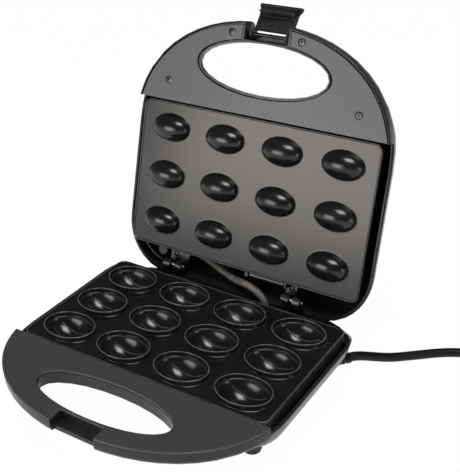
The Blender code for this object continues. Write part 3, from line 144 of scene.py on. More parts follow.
groups = {"grain": grainGroup(), "wearAndSheen": edgeWearAndSheenGroup()}
plainLook = {
    "grainScale": 2400.0, "driftScale": 22.0, "contrast": 1.0, "edgeWidth": 0.06,
    "bump": 0.1, "bumpDepth": 0.00005, "metallic": 0.0, "shader": {},
}


def tint(colour):
    # a plain number stands for a grey
    return (*colour, 1.0) if isinstance(colour, tuple) else (colour, colour, colour, 1.0)


def makeMaterial(name, values):
    # colour drifts from dark to light and turns to the edge colour on sharp edges, which is edge wear and a
    # painted highlight; roughness drifts too
    look = {**plainLook, "edge": values["light"], **values}
    material = bpy.data.materials.new(name)
    material.use_nodes = True
    tree = material.node_tree
    shader = tree.nodes["Principled BSDF"]
    names = {"Grain Scale": "grainScale", "Drift Scale": "driftScale", "Contrast": "contrast"}
    settings = {socket: look[key] for socket, key in names.items()}
    grain = addNode(tree, "Group", settings, node_tree=groups["grain"])
    wearAndSheen = addNode(tree, "Group", {"Width": look["edgeWidth"]}, node_tree=groups["wearAndSheen"])
    colours = {"A": tint(look["dark"]), "B": tint(look["light"])}
    tone = addNode(tree, "Mix", colours, data_type="RGBA")
    wornAndSheened = addNode(tree, "Mix", {"B": tint(look["edge"])}, data_type="RGBA")
    low, high = look["roughness"]
    rough = addNode(tree, "MapRange", {"To Min": low, "To Max": high})
    bump = addNode(tree, "Bump", {"Strength": look["bump"], "Distance": look["bumpDepth"]})
    linkAll(tree, (
        (grain, "Drift", tone, "Factor"), (wearAndSheen, "Edge", wornAndSheened, "Factor"), (tone, "Result", wornAndSheened, "A"),
        (wornAndSheened, "Result", shader, "Base Color"), (grain, "Drift", rough, "Value"),
        (rough, "Result", shader, "Roughness"), (grain, "Height", bump, "Height"),
        (bump, "Normal", shader, "Normal"),
    ))
    for key, value in {"Metallic": look["metallic"], **look["shader"]}.items():
        shader.inputs[key].default_value = value
    return material


# the first look with a slot's name is also the finish of the frame's own shapes in that slot
looks = {
    "black shell": {
        "slot": "black_shell", "dark": (0.009, 0.009, 0.010), "light": (0.014, 0.014, 0.016),
        "roughness": (0.26, 0.36), "bump": 0.06, "shader": {"Specular IOR Level": 0.42},
    },
    # satin panel and satin cover are one satin plastic; the panel is a lighter copy whose raised colour is
    # painted light, and the lighter edge colours of both are edge wear and a painted highlight
    "satin panel": {
        "slot": "satin_panel", "dark": (0.054, 0.054, 0.056), "light": (0.068, 0.068, 0.070),
        "edge": (0.10, 0.10, 0.105), "roughness": (0.36, 0.44), "contrast": 0.6,
    },
    "satin cover": {
        "slot": "satin_panel", "dark": (0.036, 0.036, 0.039), "light": (0.044, 0.044, 0.047),
        "edge": (0.07, 0.07, 0.075), "roughness": (0.38, 0.46), "contrast": 0.6,
    },
    # the lower coat's bright edge colour is a painted highlight along the cup rims and the plate border
    "lower coat": {
        "slot": "nonstick", "dark": 0.006, "light": 0.009, "edge": 0.17, "edgeWidth": 0.05,
        "roughness": (0.19, 0.23), "bump": 0.06, "grainScale": 3200.0,
    },
    "upper coat": {
        "slot": "nonstick", "dark": 0.006, "light": 0.009, "roughness": (0.21, 0.24), "bump": 0.05,
        "grainScale": 3200.0, "shader": {"Specular Tint": (1.0, 0.96, 0.92, 1.0)},
    },
    "plated steel": {
        "slot": "steel", "dark": (0.30, 0.30, 0.305), "light": (0.44, 0.44, 0.45),
        "roughness": (0.24, 0.40), "metallic": 1.0, "driftScale": 160.0,
    },
    "dark screw": {
        "slot": "steel", "dark": 0.09, "light": 0.14, "roughness": (0.32, 0.44), "metallic": 1.0,
        "driftScale": 200.0,
    },
    "pin steel": {
        "slot": "steel", "dark": 0.030, "light": (0.045, 0.045, 0.046), "roughness": (0.24, 0.32),
        "metallic": 1.0, "driftScale": 160.0,
    },
    "dull zinc": {
        "slot": "zinc", "dark": (0.035, 0.035, 0.037), "light": (0.065, 0.065, 0.068),
        "roughness": (0.30, 0.42), "metallic": 1.0, "driftScale": 120.0, "bump": 0.25,
    },
    "aluminised sheet": {
        "slot": "aluminised", "dark": 0.38, "light": 0.52, "roughness": (0.35, 0.50), "metallic": 1.0,
        "driftScale": 60.0,
    },
    "black rubber": {
        "slot": "rubber", "dark": 0.014, "light": 0.024, "roughness": (0.62, 0.78), "bump": 0.2,
    },
    "cord jacket": {
        "slot": "cord_black", "dark": 0.004, "light": 0.007, "roughness": (0.40, 0.50), "bump": 0.12,
        "shader": {"Specular IOR Level": 0.25},
    },
    "glass braid": {
        "slot": "braid", "dark": (0.040, 0.036, 0.030), "light": (0.15, 0.138, 0.117),
        "roughness": (0.26, 0.38), "bump": 0.4, "driftScale": 260.0,
    },
    "brass": {
        "slot": "brass", "dark": (0.50, 0.36, 0.14), "light": (0.66, 0.50, 0.24),
        "roughness": (0.22, 0.36), "metallic": 1.0,
    },
    "ceramic": {
        "slot": "ceramic", "dark": (0.60, 0.57, 0.52), "light": (0.74, 0.71, 0.66),
        "roughness": (0.55, 0.70),
    },
    # the lever's lighter edge colour is a painted highlight along its edges, with edge wear
    "lever plastic": {
        "slot": "lever", "dark": 0.004, "light": 0.007, "edge": 0.05, "roughness": (0.30, 0.38),
        "shader": {"Specular IOR Level": 0.16},
    },
    "red lens": {
        "slot": "red_lens", "dark": (0.42, 0.02, 0.015), "light": (0.56, 0.03, 0.02),
        "roughness": (0.08, 0.14),
    },
    "green lens": {
        "slot": "green_lens", "dark": (0.02, 0.30, 0.06), "light": (0.03, 0.42, 0.08),
        "roughness": (0.08, 0.14),
    },
}
materials = {name: makeMaterial(name, look) for name, look in looks.items()}
lookOfSlot = {}
for name, look in looks.items():
    lookOfSlot.setdefault(look["slot"], name)
slotOfNode = {part["node"]: part["material_slot"] for part in frame["record"]["subparts"]}
for name, obj in nodes.items():
    obj.data.materials.clear()
    obj.data.materials.append(materials[lookOfSlot[slotOfNode[name]]])
print("materials made:", len(materials))


# Mesh tools

weldDistance = 0.000002


def shadeByAngle(mesh, sharpDegrees):
    for face in mesh.polygons:
        face.use_smooth = True
    mesh.set_sharp_from_angle(angle=radians(sharpDegrees))


def meshPiece(name, vertices, faces, sharpDegrees=40.0):
    # a welded mesh with outward normals, smooth except across edges steeper than the angle
    mesh = bpy.data.meshes.new(name)
    mesh.from_pydata([tuple(v) for v in vertices], [], faces)
    work = bmesh.new()
    work.from_mesh(mesh)
    bmesh.ops.remove_doubles(work, verts=work.verts, dist=weldDistance)
    bmesh.ops.recalc_face_normals(work, faces=work.faces)
    work.to_mesh(mesh)
    work.free()
    shadeByAngle(mesh, sharpDegrees)
    return addObject(name, mesh)


def ringFaces(starts):
    # faces between rings given as (first vertex, length), of equal length or one of them a tip
    faces = []
    for (low, lowCount), (high, highCount) in zip(starts, starts[1:]):
        count = max(lowCount, highCount)
        for i in range(count):
            j = (i + 1) % count
            if lowCount == 1:
                faces.append((low, high + j, high + i))
            elif highCount == 1:
                faces.append((low + i, low + j, high))
            else:
                faces.append((low + i, low + j, high + j, high + i))
    return faces


def stackParts(rings):
    # a solid from a stack of rings, with its caps as the last faces
    vertices, starts = [], []
    for ring in rings:
        starts.append((len(vertices), len(ring)))
        vertices.extend(ring)
    faces = ringFaces(starts)
    for start, count in (starts[0], starts[-1]):
        if count > 1:
            faces.append(tuple(range(start, start + count)))
    return vertices, faces


def loopParts(rings):
    # a solid from rings of equal length whose last joins the first
    count = len(rings[0])
    faces = ringFaces([(count * k, count) for k in range(len(rings))] + [(0, count)])
    return [v for ring in rings for v in ring], faces


def acrossParts(shape, span):
    # a (y, z) shape drawn out along X
    return stackParts([[(x, y, z) for y, z in shape] for x in span])


def mergeParts(name, parts, sharpDegrees):
    vertices, faces = [], []
    for partVertices, partFaces in parts:
        first = len(vertices)
        vertices.extend(partVertices)
        faces.extend(tuple(first + i for i in face) for face in partFaces)
    return meshPiece(name, vertices, faces, sharpDegrees)


def prism(name, shape, span):
    # an (x, y) shape drawn out along Z
    return meshPiece(name, *stackParts([[(x, y, z) for x, y in shape] for z in span]))


def block(name, xSpan, ySpan, zSpan):
    (x0, x1), (y0, y1) = xSpan, ySpan
    return prism(name, ((x0, y0), (x1, y0), (x1, y1), (x0, y1)), zSpan)


def circle(radius, sides):
    turns = [2 * pi * k / sides for k in range(sides)]
    return [(radius * cos(t), radius * sin(t)) for t in turns]


def softOval(halfX, halfY, power, sides):
    # an oval that comes nearer to its box as the power grows from 2
    points = []
    for c, s in circle(1.0, sides):
        points.append((
            copysign(halfX * abs(c) ** (2 / power), c), copysign(halfY * abs(s) ** (2 / power), s),
        ))
    return points


def turned(name, centre, steps, sides, sharpDegrees=40.0):
    # a round upright piece from (radius, height) steps; a radius of nought ends in a tip
    rings = []
    for radius, height in steps:
        ring = circle(radius, sides) if radius else [(0.0, 0.0)]
        rings.append([(centre[0] + x, centre[1] + y, height) for x, y in ring])
    return meshPiece(name, *stackParts(rings), sharpDegrees)


def rodAcross(name, span, y, z, radius, sides=32, tip=0.0003):
    # a rod along X with bevelled ends
    start, end = span
    rings = []
    for x, size in ((start, radius - tip), (start + tip, radius), (end - tip, radius), (end, radius - tip)):
        rings.append([(x, y + a, z + b) for a, b in circle(size, sides)])
    return meshPiece(name, *stackParts(rings), sharpDegrees=50.0)


def softenEdges(piece, width, segments, sharpDegrees=40.0, limitDegrees=35.0):
    work = bmesh.new()
    work.from_mesh(piece.data)
    limit = radians(limitDegrees)
    edges = [e for e in work.edges if len(e.link_faces) == 2 and e.calc_face_angle() > limit]
    bmesh.ops.bevel(
        work, geom=edges, offset=width, segments=segments, profile=0.5, affect="EDGES", clamp_overlap=True,
    )
    work.to_mesh(piece.data)
    work.free()
    shadeByAngle(piece.data, sharpDegrees)


def booleanStep(target, tool, operation="DIFFERENCE", sharpDegrees=40.0):
    step = target.modifiers.new("step", "BOOLEAN")
    step.operation, step.solver, step.object = operation, "EXACT", tool
    result = bpy.data.meshes.new_from_object(target.evaluated_get(bpy.context.evaluated_depsgraph_get()))
    target.modifiers.remove(step)
    target.data = result
    shadeByAngle(result, sharpDegrees)
    bpy.data.objects.remove(tool, do_unlink=True)
    return target


def tubeParts(points, radiusAt, sides):
    # a tube along points whose radius is radiusAt(index, angle), carried along without twist
    rings, side = [], None
    for i, point in enumerate(points):
        ahead = points[min(i + 1, len(points) - 1)] - points[max(i - 1, 0)]
        ahead.normalize()
        if side is None:
            side = ahead.orthogonal().normalized()
        side = (side - ahead * side.dot(ahead)).normalized()
        third = ahead.cross(side)
        ring = []
        for k in range(sides):
            turn = 2 * pi * k / sides
            ring.append(point + (side * cos(turn) + third * sin(turn)) * radiusAt(i, turn))
        rings.append(ring)
    return stackParts(rings)


def smoothCurve(route, count, steps=16):
    # points at even steps along a smooth curve through the route
    ends = [Vector(p) for p in route]
    padded = [2 * ends[0] - ends[1]] + ends + [2 * ends[-1] - ends[-2]]
    fine = []
    for a, b, c, d in zip(padded, padded[1:], padded[2:], padded[3:]):
        for i in range(steps):
            t = i / steps
            bend, twist = 2 * a - 5 * b + 4 * c - d, 3 * b - a - 3 * c + d
            fine.append((2 * b + (c - a) * t + bend * t ** 2 + twist * t ** 3) / 2)
    fine.append(ends[-1])
    lengths = [0.0]
    for a, b in zip(fine, fine[1:]):
        lengths.append(lengths[-1] + (b - a).length)
    points, at = [], 0
    for i in range(count):
        wanted = lengths[-1] * i / (count - 1)
        while at < len(lengths) - 2 and lengths[at + 1] < wanted:
            at += 1
        share = (wanted - lengths[at]) / (lengths[at + 1] - lengths[at])
        points.append(fine[at].lerp(fine[at + 1], share))
    return points


def routeLength(points):
    return sum((b - a).length for a, b in zip(points, points[1:]))


def evenShading(piece):
    # large flat faces keep their own normals beside small rounded ones
    even = piece.modifiers.new("even", "WEIGHTED_NORMAL")
    even.keep_sharp = True


def dress(piece, look, body, half=None, replaced=()):
    # puts a piece in the room, gives it its material and body, and hides the frame's shapes it replaces
    if half:
        piece.data.transform(placeOf[half])
    piece.data.materials.clear()
    piece.data.materials.append(materials[look])
    if piece.type == "MESH":
        evenShading(piece)
    if body:
        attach(piece, body)
    if replaced:
        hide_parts(*replaced)
    return piece


# Plates: one cell for each cup or dome, with a raised border round them all
plate = {
    "columns": 4, "rows": 3, "pitch": (0.053, 0.0405), "sideSegments": 16, "bowlSteps": 16, "slab": 0.0030,
    "halfWidth": 0.1094, "front": 0.0621, "rear": 0.0640, "corner": 0.0070, "borderInner": 0.0018,
    # distance in from the outside, and height, over the border and down round its skirt
    "border": (
        (0.00175, 0.00003), (0.0016, 0.0002), (0.0013, 0.00062), (0.0011, 0.0008), (0.0006, 0.0008),
        (0.0003, 0.00072), (0.0001, 0.0005), (0.0, 0.0002), (0.0001, -0.0006), (0.0022, -0.0140),
        (0.0042, -0.0140), (0.0024, -0.0030),
    ),
}
cup = {
    "radii": (0.0196, 0.0142), "ledge": 0.0004, "bottom": -0.0112, "fullness": 0.32,
    "wall": 0.0025, "underside": -0.0165, "hiddenSteps": 3,
    # growth of the radii, and height, from the flat plate over the rim to the ledge
    "profile": (
        (0.0046, 0.0), (0.0040, 0.0), (0.0035, 0.00005), (0.0031, 0.00025), (0.00292, 0.0006),
        (0.00265, 0.0024), (0.00253, 0.0036), (0.00244, 0.0040), (0.0022, 0.00418), (0.0019, 0.00418),
        (0.00166, 0.0040), (0.00156, 0.0036), (0.00142, 0.0020), (0.00132, 0.00105), (0.00118, 0.00072),
        (0.0009, 0.00056), (0.00035, 0.0005), (0.0001, 0.00044),
    ),
}
rib = {
    "reachShare": 0.84, "offset": 0.0070, "half": 0.00060, "rise": 0.00045, "sink": 0.0004, "steps": 28,
    "endTaper": 4.0, "endShare": 0.1, "endWidthShare": 0.4, "shoulderShares": (0.5, 0.8),
}
dome = {
    "radii": (0.0177, 0.0111), "foot": 0.0007, "height": 0.0106, "underShares": (0.9, 0.5, 0.0),
    "profile": (
        (0.0030, 0.0), (0.0012, 0.0), (0.0007, 0.00003), (0.00042, 0.00012), (0.0002, 0.0003),
        (0.00005, 0.0006),
    ),
}
tiny = 0.000001


def cellSquare():
    # points round a square from -1 to 1, starting at a corner
    count = plate["sideSegments"]
    steps = [2 * i / count - 1 for i in range(count)]
    lower, right = [(s, -1) for s in steps], [(1, s) for s in steps]
    return lower + right + [(-x, -y) for x, y in lower] + [(-x, -y) for x, y in right]


def cellCentre(i, j):
    (pitchX, pitchY), columns, rows = plate["pitch"], plate["columns"], plate["rows"]
    return (i - (columns - 1) / 2) * pitchX, (j - (rows - 1) / 2) * pitchY


def bowlRings(radii, top, bottom, angles, fullness=1.0):
    # fullness 1 gives half an ellipsoid, 0 a paraboloid
    rings = []
    for turn in angles:
        depth = fullness * sin(turn) + (1 - fullness) * sin(turn) ** 2
        ring = (radii[0] * cos(turn), radii[1] * cos(turn))
        rings.append((ring, top + (bottom - top) * depth))
    return rings + [((0.0, 0.0), bottom)]


def cellRings(shape):
    # (radii, height) rings from the cell's edge to its middle, above and then below the slab
    radii, count = shape["radii"], plate["bowlSteps"]
    quarter = [pi / 2 * i / count for i in range(count)]
    above = [((radii[0] + out, radii[1] + out), z) for out, z in shape["profile"]]
    if shape is cup:
        above += bowlRings(radii, cup["ledge"], cup["bottom"], quarter[1:], cup["fullness"])
        outside = (radii[0] + cup["wall"], radii[1] + cup["wall"])
        below = bowlRings(outside, cup["ledge"], cup["underside"], quarter[cup["hiddenSteps"]:])
    else:
        above += bowlRings(radii, dome["foot"], dome["height"], quarter[1:])
        below = [((radii[0] * share, radii[1] * share), -plate["slab"]) for share in dome["underShares"]]
    return above, below


def borderPoint(x, y, near, far):
    # a point on the border's inner edge, rounded at the corners, with its outward direction
    half, radius = plate["halfWidth"] - plate["borderInner"], plate["corner"] - plate["borderInner"]
    low, high = radius - near, far - radius
    point = Vector((x, y))
    if abs(x) > half - radius and not low < y < high:
        centre = Vector((copysign(half - radius, x), low if y < 0 else high))
        way = (point - centre).normalized()
        return centre + way * radius, way
    if abs(x) >= half - tiny:
        return point, Vector((copysign(1, x), 0))
    return point, Vector((0, copysign(1, y)))


def cupRib(i, j, side):
    # one of the two low ribs along a bowl, standing square to its wall
    (radiusX, radiusY), drop, full = cup["radii"], cup["bottom"] - cup["ledge"], cup["fullness"]
    centreX, centreY = cellCentre(i, j)
    y = side * rib["offset"]
    across = y / radiusY
    rings = []
    for k in range(rib["steps"] + 1):
        share = 2 * k / rib["steps"] - 1
        along = share * rib["reachShare"] * sqrt(1 - across ** 2)
        slope = sqrt(1 - along ** 2 - across ** 2)
        depth = full * slope + (1 - full) * slope ** 2
        fall = -(full / slope + 2 * (1 - full)) * drop
        way = Vector((along / radiusX * fall, across / radiusY * fall, 0))
        normal = Vector((-way.x, -way.y, 1)).normalized()
        width = Vector((0, 1, way.y)).normalized()
        point = Vector((centreX + radiusX * along, centreY + y, cup["ledge"] + drop * depth))
        taper = min(1.0, rib["endTaper"] * (1 - abs(share)) + rib["endShare"])
        half = rib["half"] * (rib["endWidthShare"] + (1 - rib["endWidthShare"]) * taper)
        rise, sink = rib["rise"] * taper, -rib["sink"]
        inward, upward = rib["shoulderShares"]
        shape = [(half, sink), (half, 0.0), (half * inward, rise * upward)]
        shape = [(-a, b) for a, b in shape] + [(0.0, rise)] + shape[::-1]
        rings.append([tuple(point + width * a + normal * b) for a, b in shape])
    return stackParts(rings)


def platePiece(name, shape, side):
    # side is 1 where the handle lies towards +Y and -1 where it lies towards -Y
    inner, columns, rows = plate["borderInner"], plate["columns"], plate["rows"]
    near, far, half = plate["front"] - inner, plate["rear"] - inner, plate["halfWidth"] - inner
    if side > 0:
        near, far = far, near
    xLines = [-half] + [(i - columns / 2) * plate["pitch"][0] for i in range(1, columns)] + [half]
    yLines = [-near] + [(j - rows / 2) * plate["pitch"][1] for j in range(1, rows)] + [far]
    square = cellSquare()
    angles = [atan2(t, s) for s, t in square]
    above, below = cellRings(shape)
    parts, border = [], {}
    for i in range(columns):
        for j in range(rows):
            centreX, centreY = cellCentre(i, j)
            edge = []
            for s, t in square:
                x = xLines[i] + (xLines[i + 1] - xLines[i]) * (s + 1) / 2
                y = yLines[j] + (yLines[j + 1] - yLines[j]) * (t + 1) / 2
                if abs(abs(x) - half) < tiny or abs(y + near) < tiny or abs(y - far) < tiny:
                    point, way = borderPoint(x, y, near, far)
                    border[(round(point.x, 6), round(point.y, 6))] = (point, way)
                    x, y = point
                edge.append((x, y))
            for rings, height in ((above, 0.0), (below, -plate["slab"])):
                stack = [[(x, y, height) for x, y in edge]]
                for (a, b), z in rings:
                    turns = angles if a else (0.0,)
                    stack.append([(centreX + a * cos(t), centreY + b * sin(t), z) for t in turns])
                vertices, faces = stackParts(stack)
                parts.append((vertices, faces[:-1]))  # all but the cap over the cell's edge
    wide, deep = 2 * half, near + far
    loop = sorted(border.values(), key=lambda item: atan2(item[0].y / deep, item[0].x / wide))
    rings = [[(p.x, p.y, 0.0) for p, way in loop]]
    for inset, z in plate["border"]:
        rings.append([(*(p + way * (inner - inset)), z) for p, way in loop])
    rings.append([(p.x, p.y, -plate["slab"]) for p, way in loop])
    vertices, faces = stackParts(rings)
    parts.append((vertices, faces[:-2]))  # all but both caps
    if shape is cup:
        parts += [cupRib(i, j, end) for i in range(columns) for j in range(rows) for end in (-1, 1)]
    return mergeParts(name, parts, sharpDegrees=50.0)


dress(platePiece("lowerPlate", cup, -1), "lower coat", "base", "base", ("lower_mould_plate",))
dress(platePiece("upperPlate", dome, 1), "upper coat", "lid", "lid", ("upper_mould_plate",))
print("plates made")


# Handles: their outline and opening follow the frame's own housings, in each half's own frame
outline = {
    "halfWidth": 0.1168, "ovalCentre": 0.0420, "power": 2.18, "step": 0.0633, "points": 40,
    "tip": {"base": 0.1327, "lid": 0.1369}, "lidRearCorner": 0.044, "rearReach": 0.0880,
    "handleRise": 0.00215,
}
opening = {
    "halfWidth": 0.0582, "power": 2.04, "sides": 96, "cut": 0.01,
    "middle": {"base": 0.0983, "lid": 0.1004}, "halfReach": {"base": 0.0193, "lid": 0.0200},
}
cover = {
    "low": 0.00005, "inset": 0.0, "stepGap": 0.0001, "lip": 0.0, "edge": 0.00075, "edgeSteps": 4,
    "notchHalf": 0.0190, "notchReach": 0.1199, "notchEnd": 0.2,
}
panel = {
    "low": 0.00035, "inset": 0.0029, "stepGap": 0.0001, "lip": 0.0027, "edge": 0.0004, "edgeSteps": 3,
    "notchHalf": 0.0220, "notchReach": 0.1217, "notchEnd": 0.2, "screwHole": 0.0033, "screwSink": 0.0011,
    "screws": ((-0.0865, 0.0798), (0.0865, 0.0798), (-0.0311, 0.1262), (0.0311, 0.1262)),
}


def handleOutline(half):
    # right half of the handle's outline from its tip to the step, with outward directions
    middle, width, power = outline["ovalCentre"], outline["halfWidth"], outline["power"]
    reach = outline["tip"][half] - middle
    last = asin(((outline["step"] - middle) / reach) ** (power / 2))
    points = []
    for i in range(outline["points"] + 1):
        turn = pi / 2 + (last - pi / 2) * i / outline["points"]
        x = width * max(cos(turn), 0.0) ** (2 / power)
        u = reach * sin(turn) ** (2 / power)
        way = Vector(((x / width) ** (power - 1) / width, (u / reach) ** (power - 1) / reach)).normalized()
        points.append((x, middle + u, way.x, way.y))
    return points


def makeFacing(name, half, sizes):
    # the flat facing of a handle, with the opening for the hand and the notch for the clip
    side, rise, cut = 1 if half == "lid" else -1, outline["handleRise"], opening["cut"]
    right = []
    for x, u, wayX, wayU in handleOutline(half):
        u = max(u - sizes["inset"] * wayU, outline["step"] + sizes["stepGap"])
        right.append((max(x - sizes["inset"] * wayX, 0.0), side * u))
    facing = prism(name, right + [(-x, y) for x, y in reversed(right[1:])], (sizes["low"], rise))
    halfX, halfY = opening["halfWidth"] + sizes["lip"], opening["halfReach"][half] + sizes["lip"]
    hole = softOval(halfX, halfY, opening["power"], opening["sides"])
    hole = [(x, side * (opening["middle"][half] + y)) for x, y in hole]
    booleanStep(facing, prism("opening", hole, (-cut, cut)))
    notch = sorted((side * sizes["notchReach"], side * sizes["notchEnd"]))
    booleanStep(facing, block("notch", (-sizes["notchHalf"], sizes["notchHalf"]), notch, (-cut, cut)))
    softenEdges(facing, sizes["edge"], sizes["edgeSteps"], sharpDegrees=60.0)
    return facing


def makePanel():
    facing = makeFacing("lidPanel", "lid", panel)
    sink = outline["handleRise"] - panel["screwSink"]
    for place in panel["screws"]:
        steps = ((panel["screwHole"], sink), (panel["screwHole"], opening["cut"]))
        booleanStep(facing, turned("hole", place, steps, sides=40))
    return facing


dress(makeFacing("handleCover", "base", cover), "satin cover", "base", "base", ("base_handle_cover",))
dress(makePanel(), "satin panel", "lid", "lid", ("lid_handle_panel",))
print("handle panels made")


# Screws with a cross recess, whose size is (reach, half width, depth)
screwSizes = {
    "panel": {
        "radius": 0.0027, "crown": 0.0004, "rim": 0.0006, "shank": 0.0013, "length": 0.0050,
        "cross": (0.0019, 0.00055, 0.0012),
    },
    "bracket": {
        "radius": 0.0024, "crown": 0.0006, "rim": 0.0004, "shank": 0.0012, "length": 0.0030,
        "cross": (0.0014, 0.00036, 0.0008),
    },
    "body": {
        "radius": 0.0034, "crown": 0.0008, "rim": 0.0011, "shank": 0.0015, "length": 0.0060,
        "cross": (0.0019, 0.00046, 0.0011),
    },
}
screwShape = {
    "sides": 36, "crownSteps": 6, "crossFootShare": 0.35, "overrun": 0.001,
    # shares of the radius and of the rim's height, up the side of the head
    "rimShares": ((0.96, 1.0), (1.0, 0.85), (1.0, 0.15)), "shoulderShares": (0.98, 0.96),
}
screwPlaces = {
    # a turn is that of a first cross and the step to the next, in degrees
    "panelTop": 0.00195, "panelTurn": (20, 37),
    "pillars": ((-0.053, -0.02025), (0.053, -0.02025), (-0.053, 0.02025), (0.053, 0.02025)),
    "pillarHalves": (("base", -0.0354, 0, 31), ("lid", -0.0359, 12, 53)),  # half, height, turn
    "brackets": (
        ("base", "left", -0.07775, 0.0730, -0.01010), ("base", "right", 0.06975, 0.0730, -0.01010),
        ("lid", "left", -0.0666, -0.0694, -0.00740), ("lid", "right", 0.0482, -0.0696, -0.00740),
    ),
    "bracketTurn": (25, 900),  # the step is for each metre from the middle
}


def crossCutter(reach, half, depth):
    arms = []
    for turn in (0, 1):
        rings = []
        for level, share in ((-depth, screwShape["crossFootShare"]), (screwShape["overrun"], 1.0)):
            a, b = reach * share, half
            corners = ((-a, -b), (a, -b), (a, b), (-a, b))
            rings.append([((x, y) if turn == 0 else (-y, x)) + (level,) for x, y in corners])
        arms.append(meshPiece("arm", *stackParts(rings)))
    return booleanStep(arms[0], arms[1], "UNION")


def makeScrewMesh(kind):
    # head's top at the origin, shank down -Z
    size, count = screwSizes[kind], screwShape["crownSteps"]
    radius, crown, rim = size["radius"], size["crown"], size["rim"]
    steps = [(size["shank"], -size["length"]), (size["shank"], -crown - rim)]
    steps += [(radius * out, -crown - rim * down) for out, down in screwShape["rimShares"]]
    out, down = screwShape["shoulderShares"]
    steps.append((radius * out, -crown * down))
    for turn in (pi / 2 * i / count for i in range(1, count)):
        steps.append((radius * cos(turn), -crown * (1 - sin(turn))))
    steps.append((0.0, 0.0))
    screw = turned("screw", (0, 0), steps, screwShape["sides"], sharpDegrees=45.0)
    booleanStep(screw, crossCutter(*size["cross"]), sharpDegrees=30.0)
    mesh = screw.data
    bpy.data.objects.remove(screw, do_unlink=True)
    return mesh


screwMeshes = {kind: makeScrewMesh(kind) for kind in screwSizes}


def addScrew(name, kind, half, place, up, turnDegrees, look, replaced):
    mesh = screwMeshes[kind].copy()
    turn = Matrix.Rotation(radians(turnDegrees), 4, "Z")
    flip = Matrix.Identity(4) if up > 0 else Matrix.Rotation(pi, 4, "X")
    mesh.transform(Matrix.Translation(place) @ flip @ turn)
    dress(addObject(name, mesh), look, half, half, (replaced,))


for number, (x, u) in enumerate(panel["screws"], 1):
    first, step = screwPlaces["panelTurn"]
    place, replaced = (x, u, screwPlaces["panelTop"]), f"lid_panel_screw_{number}"
    addScrew(f"panelScrew{number}", "panel", "lid", place, 1, first + step * number, "dark screw", replaced)
for number, (x, y) in enumerate(screwPlaces["pillars"], 1):
    for half, z, first, step in screwPlaces["pillarHalves"]:
        name, replaced = f"{half}Screw{number}", f"{half}_screw_{number}"
        addScrew(name, "body", half, (x, y, z), -1, first + step * number, "plated steel", replaced)
for half, word, x, y, z in screwPlaces["brackets"]:
    first, step = screwPlaces["bracketTurn"]
    name, replaced = f"{half}HingeScrew{word.title()}", f"{half}_hinge_screw_{word}"
    addScrew(name, "bracket", half, (x, y, z), 1, first + step * abs(x), "dull zinc", replaced)
print("screws placed")


# Latch lever, drawn as it hangs when hooked: X across, Y away from the handles, Z along the lever
lever = {
    "openDegrees": 114.0, "pivot": (0.0, 0.1267, -0.0037), "half": 0.0170, "inner": 0.0021, "outer": 0.0051,
    "corner": 0.0009, "cornerSteps": 5,
    # height, and what is added there to the half width, the inner face and the outer face
    "levels": (
        (0.0048, -0.0006, 0.0006, -0.0006), (0.0054, 0.0, 0.0, 0.0), (0.0150, 0.0, 0.0, 0.0),
        (0.0205, 0.0, 0.0, 0.0), (0.0220, 0.0003, 0.0, 0.0), (0.0236, 0.0011, -0.0001, 0.0),
        (0.0250, 0.0019, -0.0003, 0.0001), (0.0266, 0.0022, -0.0004, 0.0001),
        (0.0272, 0.0019, -0.0001, -0.0002), (0.0274, 0.0013, 0.0004, -0.0007),
    ),
    # (y, z) outlines of the hook and of the web between an ear and the lever
    "hook": (
        (0.0023, 0.0181), (-0.0031, 0.0181), (-0.0035, 0.0183), (-0.0036, 0.0187), (-0.0033, 0.0192),
        (-0.0018, 0.0210), (-0.0012, 0.0212), (0.0023, 0.0212),
    ),
    "web": (
        (0.0019, -0.0022), (0.0039, -0.0012), (0.0049, 0.0006), (0.0049, 0.0080), (0.0023, 0.0080),
        (0.0012, 0.0028), (0.0019, 0.0),
    ),
    "webInset": 0.0001, "earWidth": 0.0022, "earSides": 36,
    # radius and share of the ear's width, round the ear from its bore
    "ear": ((0.0016, 0.0), (0.0033, 0.0), (0.0036, 0.12), (0.0036, 0.88), (0.0033, 1.0), (0.0016, 1.0)),
    "ridgeHalf": 0.0006, "ridgeSteps": 8,
    "frontRidges": {"heights": (0.0170, 0.0232, 0.0253), "sink": 0.0003, "rise": 0.0009, "endGap": 0.0016},
    "backRidges": {"count": 5, "first": 0.01232, "pitch": 0.002688, "sink": 0.0002, "rise": 0.0008},
}
latchPin = {"half": 0.0193, "radius": 0.0015}


def leverSlice(z, half, inner, outer):
    # a rounded rectangle across the lever
    corner, count = lever["corner"], lever["cornerSteps"]
    ring = []
    for number, (x, y) in enumerate(((half, outer), (-half, outer), (-half, inner), (half, inner))):
        centreX, centreY = x - copysign(corner, x), y - (corner if y == outer else -corner)
        for i in range(count + 1):
            turn = pi / 2 * (number + i / count)
            ring.append((centreX + corner * cos(turn), centreY + corner * sin(turn), z))
    return ring


def leverRidge(face, rise, z, reach):
    # a half-round bar across the lever, on the inner face where its rise is negative
    turns = [pi * i / lever["ridgeSteps"] for i in range(lever["ridgeSteps"] + 1)]
    bar = [(face + rise * sin(turn), z - lever["ridgeHalf"] * cos(turn)) for turn in turns]
    return acrossParts(bar, (-reach, reach))


def leverEar(near, far):
    rings = []
    for radius, share in lever["ear"]:
        rings.append([(near + (far - near) * share, y, z) for y, z in circle(radius, lever["earSides"])])
    return loopParts(rings)


